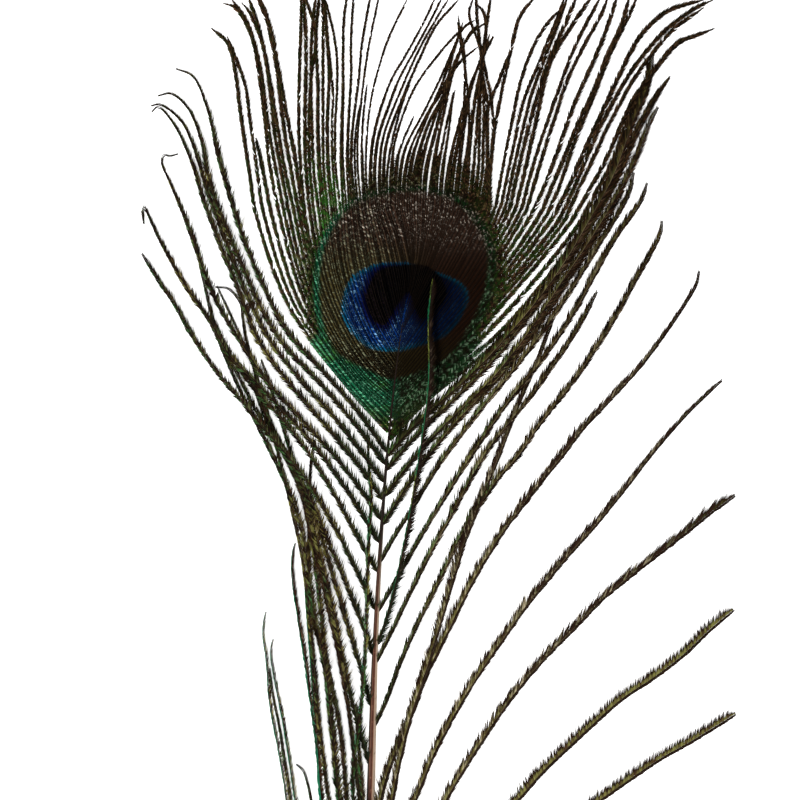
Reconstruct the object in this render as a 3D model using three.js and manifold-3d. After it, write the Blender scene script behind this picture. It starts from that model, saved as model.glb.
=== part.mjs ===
// An eye feather from a peacock's train, lying on a flat surface with its face up.
// Millimetres, +Z up, the shaft running along +Y from the quill's point to the eye.
// The origin is on the shaft's flat underside, 17 mm below the point of the eye's web.
//
// The feather grew as one piece, so it is one solid: the shaft, the web of the eye, and
// the locks, which are the barbs that leave the shaft or the web and run free to a point.
import * as THREE from 'three';
import { mergeVertices } from 'three/addons/utils/BufferGeometryUtils.js';
import Module from 'manifold-3d';

const wasm = await Module();
wasm.setup();

// ---- Shaft ----
// Places on the shaft's middle line, from the quill's point to its hair-thin end in the eye.
const SHAFT_LINE = [
  [-7, -178], [-6, -150], [-4.8, -115], [-3.25, -75], [-2, -35],
  [0, 0], [1.75, 20], [4, 39], [6, 52], [7.2, 61],
];
// Width of the shaft at stations along Y. It is about as deep as it is wide.
const SHAFT_WIDTHS = [
  [-178, 0.7], [-174, 1.7], [-166, 2.5], [-150, 2.7], [-75, 2.1],
  [-50, 1.7], [-35, 1.25], [0, 0.8], [20, 0.5], [40, 0.35], [61, 0.25],
];
const SHAFT_DEPTH_SHARE = 0.9;
const SHAFT_SIDES = 8;
const SHAFT_STEPS = 34;
const ROOT_HEIGHT_SHARE = 0.6; // barbs leave the shaft this far up its depth
const ROOT_OUTSET_SHARE = 0.25; // and this far from its middle line, in widths

// ---- Web of the eye ----
// Guide barbs from the outermost on the left, over the middle, to the outermost on the right.
// root is the station on the shaft, via the places passed, the last of them being the tip,
// web the share of the length that is knit together, and locks how many free ends the
// stretch from this guide to the next one splits into.
const WEB_GUIDES = [
  { side: -1, root: 17, via: [[-9.75, 29.5], [-23.5, 48.75], [-32, 75], [-35.25, 92.5], [-39.5, 116]], web: 0.5, locks: 5 },
  { side: -1, root: 25, via: [[-6, 32.5], [-16, 50], [-21.5, 75], [-24, 92.5], [-30.5, 128.5]], web: 0.46, locks: 1 },
  { side: -1, root: 26, via: [[-5.5, 34], [-15.25, 51.25], [-20.25, 75], [-21.25, 92.5], [-20.5, 131]], web: 0.46, locks: 4 },
  { side: -1, root: 31.5, via: [[-4, 41.25], [-9.75, 57.5], [-11.5, 75], [-11.5, 92.5], [-15, 131]], web: 0.48, locks: 1 },
  { side: -1, root: 32.5, via: [[-3.5, 42.5], [-8.5, 58.75], [-9.75, 75], [-10.5, 92.5], [-9.25, 131]], web: 0.49, locks: 3 },
  { side: -1, root: 39, via: [[-0.25, 48.75], [-3, 62.5], [-4, 75], [-4.5, 92.5], [2, 130]], web: 0.5, locks: 3 },
  { side: -1, root: 45.5, via: [[4, 53.75], [2.5, 65], [1.75, 75], [2.5, 92.5], [15.25, 127.5]], web: 0.46, locks: 1 },
  { side: -1, root: 50, via: [[6.25, 57.5], [5.75, 66.25], [5, 75], [5.75, 90.5], [19.5, 121]], web: 0.46, locks: 1 },
  { side: 1, root: 49.5, via: [[6.75, 57], [6.5, 66.25], [6.5, 75], [8.25, 91.25], [20.25, 122]], web: 0.46, locks: 3 },
  { side: 1, root: 47, via: [[7.5, 54.5], [10.25, 65.5], [12.25, 75], [14.75, 92.5], [23.5, 126]], web: 0.45, locks: 3 },
  { side: 1, root: 42, via: [[9, 50.75], [15.25, 63.75], [19.75, 75], [21.5, 92.5], [26, 125]], web: 0.48, locks: 2 },
  { side: 1, root: 37.5, via: [[10, 47], [18.5, 60.5], [24.5, 75], [27, 92.5], [36, 127.5]], web: 0.44, locks: 3 },
  { side: 1, root: 32.5, via: [[10.75, 42.5], [22, 57.5], [30.25, 75], [35, 92.5], [47.75, 130]], web: 0.42, locks: 2 },
  { side: 1, root: 27.5, via: [[11.5, 38.25], [24.5, 53.75], [36.5, 73.75], [43, 95], [57, 130]], web: 0.38, locks: 2 },
  { side: 1, root: 23.5, via: [[12, 34.5], [26.5, 50], [42.75, 73.75], [53.5, 93.75], [81, 125]], web: 0.34, locks: 2 },
  { side: 1, root: 20, via: [[12, 30.5], [29, 47.5], [47.75, 71.25], [57, 90], [81, 118]], web: 0.32, locks: 2 },
  { side: 1, root: 15, via: [[10.25, 24.5], [31.5, 42.5], [51.5, 65], [61.5, 85], [71.25, 106]], web: 0.3, locks: 1 },
];
const WEB_THICKNESS = 0.7;
const WEB_ACROSS = 27;
const WEB_ALONG = 8;
const WEB_LOCK_STEPS = 7;

// ---- Loose barbs ----
// Each free barb from its station on the shaft through the places that it passes to its tip.
const LOOSE_BARBS = [
  // Left of the shaft, from the eye downwards
  { side: -1, root: 11, via: [[-13.5, 31.25], [-27.25, 50], [-36, 70], [-42.25, 90], [-46, 101], [-52, 107.5]] },
  { side: -1, root: 7.5, via: [[-13.5, 25.75], [-28.5, 43], [-38, 65], [-44, 83.75], [-49, 97], [-56.5, 101]] },
  { side: -1, root: 3.25, via: [[-14.75, 23], [-30.5, 42.5], [-40.5, 65], [-46, 83.75], [-51.5, 95.5], [-58.25, 98.5]] },
  { side: -1, root: -0.75, via: [[-16, 20], [-31.5, 40], [-41.75, 63.75], [-48, 83.75], [-54, 95.5], [-58, 97.25]] },
  { side: -1, root: -5.5, via: [[-17.25, 15], [-33.5, 36.25], [-43.5, 55], [-50.5, 71.25], [-55.25, 83.5], [-52, 86.5]] },
  { side: -1, root: -12, via: [[-16, 5.5], [-32.25, 25], [-43, 43.75], [-51, 56.25], [-60, 72.5], [-60, 69.5]] },
  { side: -1, root: -20, via: [[-14.75, -2], [-30.5, 17], [-42.25, 32], [-52.25, 48.25], [-60.75, 61.75]] },
  { side: -1, root: -28, via: [[-12.25, -11.25], [-23.5, 11.25], [-34, 28.75], [-41, 41.25], [-44, 50], [-46, 59.5]] },
  { side: -1, root: -36, via: [[-9.75, -20], [-19.75, 2.5], [-28.5, 21.25], [-34.5, 37.5], [-36, 47.5], [-41.5, 53.5]] },
  { side: -1, root: -52, via: [[-8, -36.25], [-13.5, -18.75], [-18.5, 0], [-23.5, 12.5], [-30.5, 25]] },
  { side: -1, root: -65.5, via: [[-8, -50], [-12.25, -28.75], [-15.5, -11.25], [-17.75, 5], [-17.5, 15]] },
  { side: -1, root: -92.5, via: [[-8.5, -75], [-6, -51.25], [-4.25, -30], [-3.75, -5], [-4, 13.75]] },
  { side: -1, root: -107.5, via: [[-11.5, -82.5], [-13.25, -60], [-16, -35], [-19.5, -15], [-32, 20]] },
  { side: -1, root: -115, via: [[-14.75, -90], [-16.75, -70], [-19, -45], [-22, -25], [-22.5, -10.75]] },
  { side: -1, root: -122.5, via: [[-16, -95], [-21, -73.75], [-24.25, -53.75], [-27.5, -42.5], [-27.75, -34.75]] },
  { side: -1, root: -132.5, via: [[-17.25, -102.5], [-24.25, -73.75], [-28, -53.75], [-30, -37.5], [-29.75, -27.75]] },
  // Right of the shaft, from the eye downwards
  { side: 1, root: 10.75, via: [[11.5, 22], [30.25, 37], [46.5, 56.25], [57.75, 73.75], [65.25, 87.5], [68.5, 98.75]] },
  { side: 1, root: 6.5, via: [[11.5, 17.5], [30.25, 33.75], [44, 50], [54, 65], [62.75, 82.5]] },
  { side: 1, root: 0, via: [[11.5, 13.75], [29, 28.75], [44, 42.5], [54, 58.75], [62.75, 72], [65.5, 80]] },
  { side: 1, root: -6.75, via: [[10.25, 10], [26.5, 26.25], [40.25, 43.75], [45.25, 53.75], [50.25, 65]] },
  { side: 1, root: -15.5, via: [[9, 3], [24, 22], [35.25, 35], [42.75, 50], [46.5, 58.75]] },
  { side: 1, root: -26.75, via: [[7.75, -8], [19, 9.5], [31.5, 25], [44, 38.75], [54, 52.5]] },
  { side: 1, root: -41.25, via: [[6.5, -22.5], [17.75, 0], [31.5, 21.25], [43.5, 34], [52, 48]] },
  { side: 1, root: -56.25, via: [[4.25, -38.75], [16.5, -15], [29, 5], [44, 26.25], [59, 47.5], [69.5, 69.75]] },
  { side: 1, root: -74.5, via: [[7, -51.25], [19, -25.5], [36.5, 1.25], [54, 22.5], [71.5, 43.75], [78.75, 57.5]] },
  { side: 1, root: -92.5, via: [[3, -73.75], [9, -47.5], [17.75, -18.75], [24.5, 1.25], [30.25, 17.5], [34, 28.75]] },
  { side: 1, root: -98.75, via: [[9, -73.75], [24, -44.5], [44, -15], [64, 7.5], [82.5, 27.5]] },
  { side: 1, root: -107.5, via: [[16.5, -74.5], [34, -47], [54, -26.25], [69, -13.75], [86, -2]] },
  { side: 1, root: -121, via: [[14, -97.5], [34, -74.5], [54, -55.5], [69, -42.5], [87.5, -28.5]] },
  { side: 1, root: -132.5, via: [[24, -100], [54, -74.5], [69, -65], [88, -54]] },
  // One that has swung across the shaft's right side and lies over the eye
  { side: 1, root: -35, via: [[2, -22.5], [5.25, -11.25], [9.25, 12.5], [10.75, 25], [11.75, 47.5], [12.25, 55.75]], over: 0.9, tip: 3 },
];
const BARB_ARCH = 2.6; // how far a barb's middle stands above the straight line to its tip
const TIP_HEIGHT = 0.3; // a tip's middle line above the surface
const LOCK_WIDTH = 1.5; // a loose barb with its barbules
const LOCK_THICKNESS = 0.5;
const LOOSE_STEPS = 12;

// ---- Short barbs above the quill ----
const SHORT_BARB_PAIRS = 5;
const SHORT_BARB_FIRST = -138.5; // station of the uppermost pair
const SHORT_BARB_PITCH = 4.5;
const SHORT_BARB_LENGTH = 88; // of the uppermost pair
const SHORT_BARB_SHRINK = 0.72; // from one pair to the next
const SHORT_BARB_STEPS = 5;
const SHORT_BARB_REACH = [[-1, 0.3, 0.68], [1, 0.74, 0.66]]; // side, sideways and upward shares

const FEATHER_BROWN = 0x3a2f1e;

const UP = new THREE.Vector3(0, 0, 1);

// Linear reading of a list of [place, value] pairs.
function readOff(pairs, place) {
  const next = pairs.findIndex(([at]) => at >= place);
  if (next === 0) return pairs[0][1];
  if (next < 0) return pairs[pairs.length - 1][1];
  const [[a, va], [b, vb]] = [pairs[next - 1], pairs[next]];
  return va + ((vb - va) * (place - a)) / (b - a);
}

const shaftCurve = new THREE.CatmullRomCurve3(
  SHAFT_LINE.map(([x, y]) => new THREE.Vector3(x, y, 0)),
);

const shaftWidth = (y) => readOff(SHAFT_WIDTHS, y);
const shaftDepth = (y) => shaftWidth(y) * SHAFT_DEPTH_SHARE;

// The shaft's middle line at a station, found by halving because Y only grows along it.
function shaftAt(y) {
  let [low, high] = [0, 1];
  for (let i = 0; i < 30; i += 1) {
    const mid = (low + high) / 2;
    if (shaftCurve.getPoint(mid).y < y) low = mid;
    else high = mid;
  }
  return shaftCurve.getPoint(low);
}

// The middle line of a barb in plan, from its root in the shaft's side to its tip.
function barbCurve({ side, root, via }) {
  const from = shaftAt(root);
  from.x += side * ROOT_OUTSET_SHARE * shaftWidth(root);
  return new THREE.CatmullRomCurve3([from, ...via.map(([x, y]) => new THREE.Vector3(x, y, 0))]);
}

// Height of a barb's middle line at a share of its length: up from the shaft, over, and down.
function barbHeight(root, share, over = 0, tip = TIP_HEIGHT) {
  const from = shaftDepth(root) * ROOT_HEIGHT_SHARE;
  const arch = (BARB_ARCH + over) * Math.sin(Math.PI * share ** 0.8);
  return from * (1 - share) + tip * share + arch;
}

// A closed geometry as a manifold-3d solid.
function solidOf(geometry) {
  geometry.deleteAttribute('normal');
  geometry.deleteAttribute('uv');
  const merged = mergeVertices(geometry, 1e-4);
  return new wasm.Manifold(
    new wasm.Mesh({
      numProp: 3,
      vertProperties: merged.attributes.position.array,
      triVerts: new Uint32Array(merged.index.array),
    }),
  );
}

// Moves every vertex of a geometry to place(x, y, z).
function reshape(geometry, place) {
  const { position } = geometry.attributes;
  for (let i = 0; i < position.count; i += 1) {
    const to = place(position.getX(i), position.getY(i), position.getZ(i));
    position.setXYZ(i, to.x, to.y, to.z);
  }
  return geometry;
}

// A rod of changing section along a line. line(share) gives the middle and the direction at a
// share of its length, and section(share) half the width and half the depth there.
function rodAlong(line, section, sides, steps) {
  const turn = Math.PI / sides; // puts a flat side on top and underneath
  const flat = 1 / Math.cos(turn); // brings the flats out to the section's full size
  const rod = new THREE.CylinderGeometry(1, 1, 1, sides, steps, false, turn);
  return reshape(rod, (x, y, z) => {
    const { middle, along } = line(y + 0.5);
    const [halfWidth, halfDepth] = section(y + 0.5);
    const across = new THREE.Vector3().crossVectors(along, UP).normalize();
    return middle.clone().addScaledVector(across, x * flat * halfWidth).addScaledVector(UP, z * flat * halfDepth);
  });
}

function makeShaft() {
  const line = (share) => {
    const middle = shaftCurve.getPoint(share);
    const along = shaftCurve.getTangent(share);
    middle.z = shaftDepth(middle.y) / 2;
    return { middle, along };
  };
  const section = (share) => {
    const { y } = shaftCurve.getPoint(share);
    return [shaftWidth(y) / 2, shaftDepth(y) / 2];
  };
  return solidOf(rodAlong(line, section, SHAFT_SIDES, SHAFT_STEPS));
}

// The barb a share of the way from one guide to the next, as another guide.
function between(a, b, share) {
  const mix = (p, q) => p + (q - p) * share;
  return {
    side: share < 0.5 ? a.side : b.side,
    root: mix(a.root, b.root),
    via: a.via.map(([x, y], i) => [mix(x, b.via[i][0]), mix(y, b.via[i][1])]),
    web: mix(a.web, b.web),
  };
}

function makeWeb() {
  const spans = WEB_GUIDES.length - 1;
  const barbs = Array.from({ length: WEB_ACROSS + 1 }, (_, i) => {
    const place = (i / WEB_ACROSS) * spans;
    const first = Math.min(Math.floor(place), spans - 1);
    const barb = between(WEB_GUIDES[first], WEB_GUIDES[first + 1], place - first);
    return { ...barb, curve: barbCurve(barb) };
  });
  const sheet = new THREE.BoxGeometry(1, 1, 1, WEB_ACROSS, WEB_ALONG, 1);
  return solidOf(
    reshape(sheet, (x, y, z) => {
      const { curve, web, root } = barbs[Math.round((x + 0.5) * WEB_ACROSS)];
      const share = (y + 0.5) * web;
      const place = curve.getPointAt(share);
      const middle = Math.max(barbHeight(root, share), WEB_THICKNESS / 2); // clear of the surface
      place.z = middle + z * WEB_THICKNESS;
      return place;
    }),
  );
}

// A free barb from a share of its length onwards, narrowing to its tip.
function makeLock(barb, start, steps) {
  const curve = barbCurve(barb);
  const shareOf = (t) => start + (1 - start) * t;
  const line = (t) => {
    const middle = curve.getPointAt(shareOf(t));
    const along = curve.getTangentAt(shareOf(t));
    middle.z = barbHeight(barb.root, shareOf(t), barb.over, barb.tip);
    return { middle, along };
  };
  const section = (t) => {
    const slim = 1 - 0.75 * t ** 2.5;
    return [(LOCK_WIDTH / 2) * slim, (LOCK_THICKNESS / 2) * slim];
  };
  return solidOf(rodAlong(line, section, 4, steps));
}

// The free ends that the web splits into.
function makeWebLocks() {
  return WEB_GUIDES.slice(0, -1).flatMap((guide, i) =>
    Array.from({ length: guide.locks }, (_, j) => {
      const barb = between(guide, WEB_GUIDES[i + 1], (j + 0.5) / guide.locks);
      return makeLock(barb, barb.web - 0.05, WEB_LOCK_STEPS);
    }),
  );
}

// Pairs of ever shorter barbs that end the vane above the bare quill.
function makeShortBarbs() {
  const pairs = Array.from({ length: SHORT_BARB_PAIRS }, (_, i) => {
    const root = SHORT_BARB_FIRST - i * SHORT_BARB_PITCH;
    const length = SHORT_BARB_LENGTH * SHORT_BARB_SHRINK ** i;
    return SHORT_BARB_REACH.map(([side, aside, upward]) => {
      const via = [0.3, 0.65, 1].map((share) => [
        shaftAt(root).x + side * aside * length * share ** 0.85,
        root + upward * length * share ** 1.15,
      ]);
      return makeLock({ side, root, via }, 0, SHORT_BARB_STEPS);
    });
  });
  return pairs.flat();
}

// Everything joined, because it grew as one.
function makeFeather() {
  const locks = LOOSE_BARBS.map((barb) => makeLock(barb, 0, LOOSE_STEPS));
  const joined = wasm.Manifold.union([
    makeShaft(), makeWeb(), ...makeWebLocks(), ...locks, ...makeShortBarbs(),
  ]);
  const { numProp, vertProperties, triVerts, numVert } = joined.getMesh();
  const places = new Float32Array(numVert * 3);
  for (let i = 0; i < numVert; i += 1) {
    places.set(vertProperties.subarray(i * numProp, i * numProp + 3), i * 3);
  }
  const geometry = new THREE.BufferGeometry();
  geometry.setAttribute('position', new THREE.BufferAttribute(places, 3));
  geometry.setIndex(new THREE.BufferAttribute(triVerts, 1));
  geometry.computeVertexNormals();
  const keratin = new THREE.MeshStandardMaterial({ color: FEATHER_BROWN, roughness: 0.55, metalness: 0 });
  const mesh = new THREE.Mesh(geometry, keratin);
  mesh.name = 'feather';
  return mesh;
}

const peacockFeather = new THREE.Group();
peacockFeather.add(makeFeather());

export default peacockFeather;
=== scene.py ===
"""Dresses the peacock eye feather: its shaft, the knit web of the eye and every free barb.

The feather lies face up on a pale floor. Lengths in this script are millimetres in the frame of
the solid feather: +Y runs along the shaft to the eye, +Z points up from the floor.
"""

import logging
import math
from dataclasses import dataclass, field, replace
from enum import Enum
from typing import Any, Iterable

import bmesh
import bpy
import numpy as np
from mathutils import Matrix, Vector


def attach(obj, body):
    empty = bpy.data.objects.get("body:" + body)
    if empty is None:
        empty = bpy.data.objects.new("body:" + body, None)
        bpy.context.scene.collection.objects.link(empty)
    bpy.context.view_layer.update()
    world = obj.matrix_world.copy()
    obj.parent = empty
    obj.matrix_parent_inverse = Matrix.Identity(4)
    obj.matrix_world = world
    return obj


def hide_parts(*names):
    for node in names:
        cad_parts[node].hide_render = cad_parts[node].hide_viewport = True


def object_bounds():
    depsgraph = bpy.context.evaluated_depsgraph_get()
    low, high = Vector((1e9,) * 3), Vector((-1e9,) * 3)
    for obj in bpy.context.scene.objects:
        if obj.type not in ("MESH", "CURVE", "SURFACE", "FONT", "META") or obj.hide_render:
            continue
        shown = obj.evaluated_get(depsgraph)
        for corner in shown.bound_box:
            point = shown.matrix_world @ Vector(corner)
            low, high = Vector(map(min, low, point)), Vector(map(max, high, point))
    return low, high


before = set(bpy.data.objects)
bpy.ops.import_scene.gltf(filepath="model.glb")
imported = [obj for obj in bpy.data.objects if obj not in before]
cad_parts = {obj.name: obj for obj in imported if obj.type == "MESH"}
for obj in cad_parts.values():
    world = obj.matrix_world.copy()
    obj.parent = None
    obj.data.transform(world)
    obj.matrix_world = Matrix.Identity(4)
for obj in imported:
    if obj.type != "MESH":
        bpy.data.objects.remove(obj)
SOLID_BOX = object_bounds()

log = logging.getLogger("peacock_feather")

Route = tuple[tuple[float, float], ...]
Span = tuple[float, float]  # where something starts and ends, or two sizes that go together
Socket, Material = bpy.types.NodeSocket, bpy.types.Material

MM = 0.001
TINY = 1e-9  # keeps divisions off zero
UP = np.array([0.0, 0.0, 1.0])
FAR_AWAY = 25.0  # a signed distance in mm that stands for anywhere outside the eye
MAP_MARGIN = 0.01  # room around a piece's plan in its map

# ---- Shaft ----
# Places on the shaft's middle line, from the quill's point to its hair-thin end in the eye.
SHAFT_LINE: Route = (
    (-7, -178), (-6, -150), (-4.8, -115), (-3.25, -75), (-2, -35),
    (0, 0), (1.75, 20), (4, 39), (6, 52), (7.2, 61),
)
# Width of the shaft at stations along Y.
SHAFT_WIDTHS: Route = (
    (-178, 0.7), (-174, 1.7), (-166, 2.5), (-150, 2.7), (-75, 2.1),
    (-50, 1.8), (-35, 1.42), (0, 0.9), (20, 0.55), (40, 0.35), (61, 0.25),
)
SHAFT_DEPTH_SHARE = 0.9
ROOT_HEIGHT_SHARE = 0.6  # barbs leave the shaft this far up its depth
ROOT_OUTSET_SHARE = 0.25  # and this far from its middle line, in widths

# ---- Lines and heights of the barbs ----
LINE_STEP = 0.5  # between the points of a barb's middle line
LINE_LEAST = 12  # points of the shortest one
AIM_REACH = 0.4  # a barb's direction is that from this far behind a place to this far ahead
BARB_ARCH = 2.6  # how far a barb's middle stands above the straight line to its tip
ARCH_SKEW = 0.8  # below 1, the arch stands highest nearer to the root
TIP_HEIGHT = 0.3  # a tip's middle line above the floor
LOWEST = 0.04  # nothing reaches below this height
RAMUS_STEP = 1.5  # between the rings of a barb's own shaft
RAMUS_RINGS = 6  # least number of its rings
RAMUS_TAPER = 1.4  # above 1, it thins mostly towards the tip

# ---- Lengths of the barbules along a barb, as shares ----
ROOT_LEAD = 0.02  # their growth from the root starts this far before it
BLUNT_END = 0.25  # at the end of a blunt tip
BLUNT_GAIN = 0.4  # what a blunt tip gains over its last stretch
BLUNT_STRETCH = 0.04  # length of that stretch
TAPERED = 0.35  # what thins out towards the tip of a plain barb

# ---- Places of the barbules along a barb ----
STATION_JITTER = 0.18  # in pitches
STATION_END = 0.02  # the last one sits this far before the tip
NOTCH_SIZE = 0.6  # length of a gap in a barb's edge

# ---- Web of the eye ----
# Guide barbs of each side, from the outermost to the middle: the station of the root on the
# shaft, then three places on the way to where the barb leaves the web.
LEFT_GUIDES = (
    (17, (-9.75, 29.5), (-23.5, 48.75), (-32, 75)),
    (25, (-6, 32.5), (-16, 50), (-21.5, 75)),
    (32, (-3.75, 42), (-9.25, 58), (-10.75, 75)),
    (39, (-0.25, 48.75), (-3.4, 62.5), (-5.5, 75)),
    (45.5, (4, 53.75), (1.6, 65), (-1, 75)),
    (50, (6.2, 56), (4.4, 65), (1.6, 74)),
)
RIGHT_GUIDES = (
    (15, (10.25, 24.5), (31.5, 42.5), (52, 69)),
    (20, (12, 30.5), (29, 47.5), (47.75, 71.25)),
    (23.5, (12, 34.5), (26.5, 50), (42.75, 73.75)),
    (27.5, (11.5, 38.25), (24.5, 53.75), (36.5, 73.75)),
    (32.5, (10.75, 42.5), (22, 57.5), (30.25, 75)),
    (37.5, (10, 47), (18.5, 60.5), (24.5, 75)),
    (42, (9, 50.75), (15.25, 63.75), (19.75, 75)),
    (47, (7.5, 54.5), (9.2, 65.5), (9.5, 75)),
    (50, (6.7, 56), (5.2, 65), (2.9, 74)),
)
GUIDE_SLIPS = (0.2, 0.55)  # how far a barb's two middle places follow its free end sideways
WEB_POINTS = 14  # points of a barb's line for each span in the web
FREE_POINTS = 8  # and for each span of the free end
FREE_WANDER = 0.3  # mm that the tip of a barb beside a given one strays
FREE_LENGTHS = (0.4, 0.95)  # and its share of that one's free length
FIRST_FREE = 6  # the point of the free end that the web's line heads for

WEB_SAMPLES = 48  # places along a barb at which the room to the next is taken
WEB_SWEEP = 50.0  # degrees between a barbule and its barb in the web
WEB_GAPS = 0.001  # share of barbules missing
BLADE_OVERLAP = 0.22  # barbules start this far on the other side of their barb
EYE_LIFT = 0.12  # random height of a barb's middle in the eye
EXTRA_LIFT = 0.25  # what every other barb beside a given one has on top
EXTRA_BREADTH = 0.8  # and how broad the free end of those is, as a share
BREADTH_SPREAD = (0.9, 1.15)  # random share of a free end's breadth
GREEN_LEAST = 0.25  # greenness outside the disc
GREEN_FROM, GREEN_TO = (-18.5, -15), (-12, -9)  # X between which barbs turn green, and brown
EDGE_ROOM = 1.0  # how far the outermost barb's outer barbules reach
PLATE_STEP = 1.6  # length of the steps of the plate that the barbules' joined bases make
PLATE_RINGS = 8  # least number of its rings
PLATE_FREE = 0.98  # how free the barb is where the plate ends
PLATE_SHARE = 0.56  # share of the room to the next barb that it fills
PLATE_WIDEST = 1.6
PLATE_EDGE = 0.02  # half its width where the barb is free
PLATE_SINK = 0.07  # how far its ridge lies below the barb's middle line
PLATE_THICK = 0.04
PLATE_DROP = 0.75  # how much it falls for each mm across
PLATE_TONE = 0.3
PLATE_AT_ROOT = (0.75, 4.0)  # how far it reaches at the shaft, and where that ends along the barb
DISC_MIDDLE = (6.0, 54.0)
# How far past the disc's edge the web is knit, by the direction from the disc's middle in degrees
KNIT_REACH: Route = (
    (-180, 1.4), (-152, 1.4), (-138, 25), (-72, 25), (-62, 8), (-52, 3), (-38, 2.2), (0, 2),
    (35, 2), (60, 8), (90, 9), (106, 4), (120, -1), (140, 0), (158, 1.2), (180, 1.4),
)
KNIT_FADE = 3.5  # mm over which it opens

# ---- Markings of the eye, as closed outlines ----
HEART_OUTLINE: Route = (
    (-4.5, 50), (-3.1, 54.8), (-0.9, 57.4), (4, 58.5), (10.4, 58.5), (14.1, 55.5),
    (15.6, 51.8), (14.9, 49.2), (12.4, 46.8), (9.4, 45.1), (7.6, 48.2), (6.2, 51.6),
    (3.4, 48.2), (1.9, 45.4), (0, 43.4), (-2.6, 44.8), (-4.1, 47.5),
)
BLUE_OUTLINE: Route = (
    (-8.6, 54.5), (-6.1, 56.9), (-1.4, 58.8), (2.9, 59.2), (6.9, 59), (10.6, 57.4),
    (14.1, 56.5), (17.6, 55), (20.1, 53.2), (21.1, 50), (20.1, 47.2), (18.4, 44),
    (14.9, 40.5), (10.6, 38.8), (4.4, 37.2), (0.1, 37), (-3.9, 38), (-7.4, 41),
    (-9.9, 44.8), (-10.4, 48.2), (-9.9, 51.5),
)
DISC_OUTLINE: Route = (
    (-15.9, 52.5), (-15.4, 60), (-12.6, 67.5), (-8, 73), (0, 76.2), (9, 76.8),
    (16.8, 74.8), (22.4, 69.2), (25.6, 62.5), (25.8, 56), (24.1, 49), (20.6, 42.2),
    (16, 35.5), (10.4, 32.6), (1.9, 30), (-3.1, 32), (-11.9, 37), (-15, 44.5),
)

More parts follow.
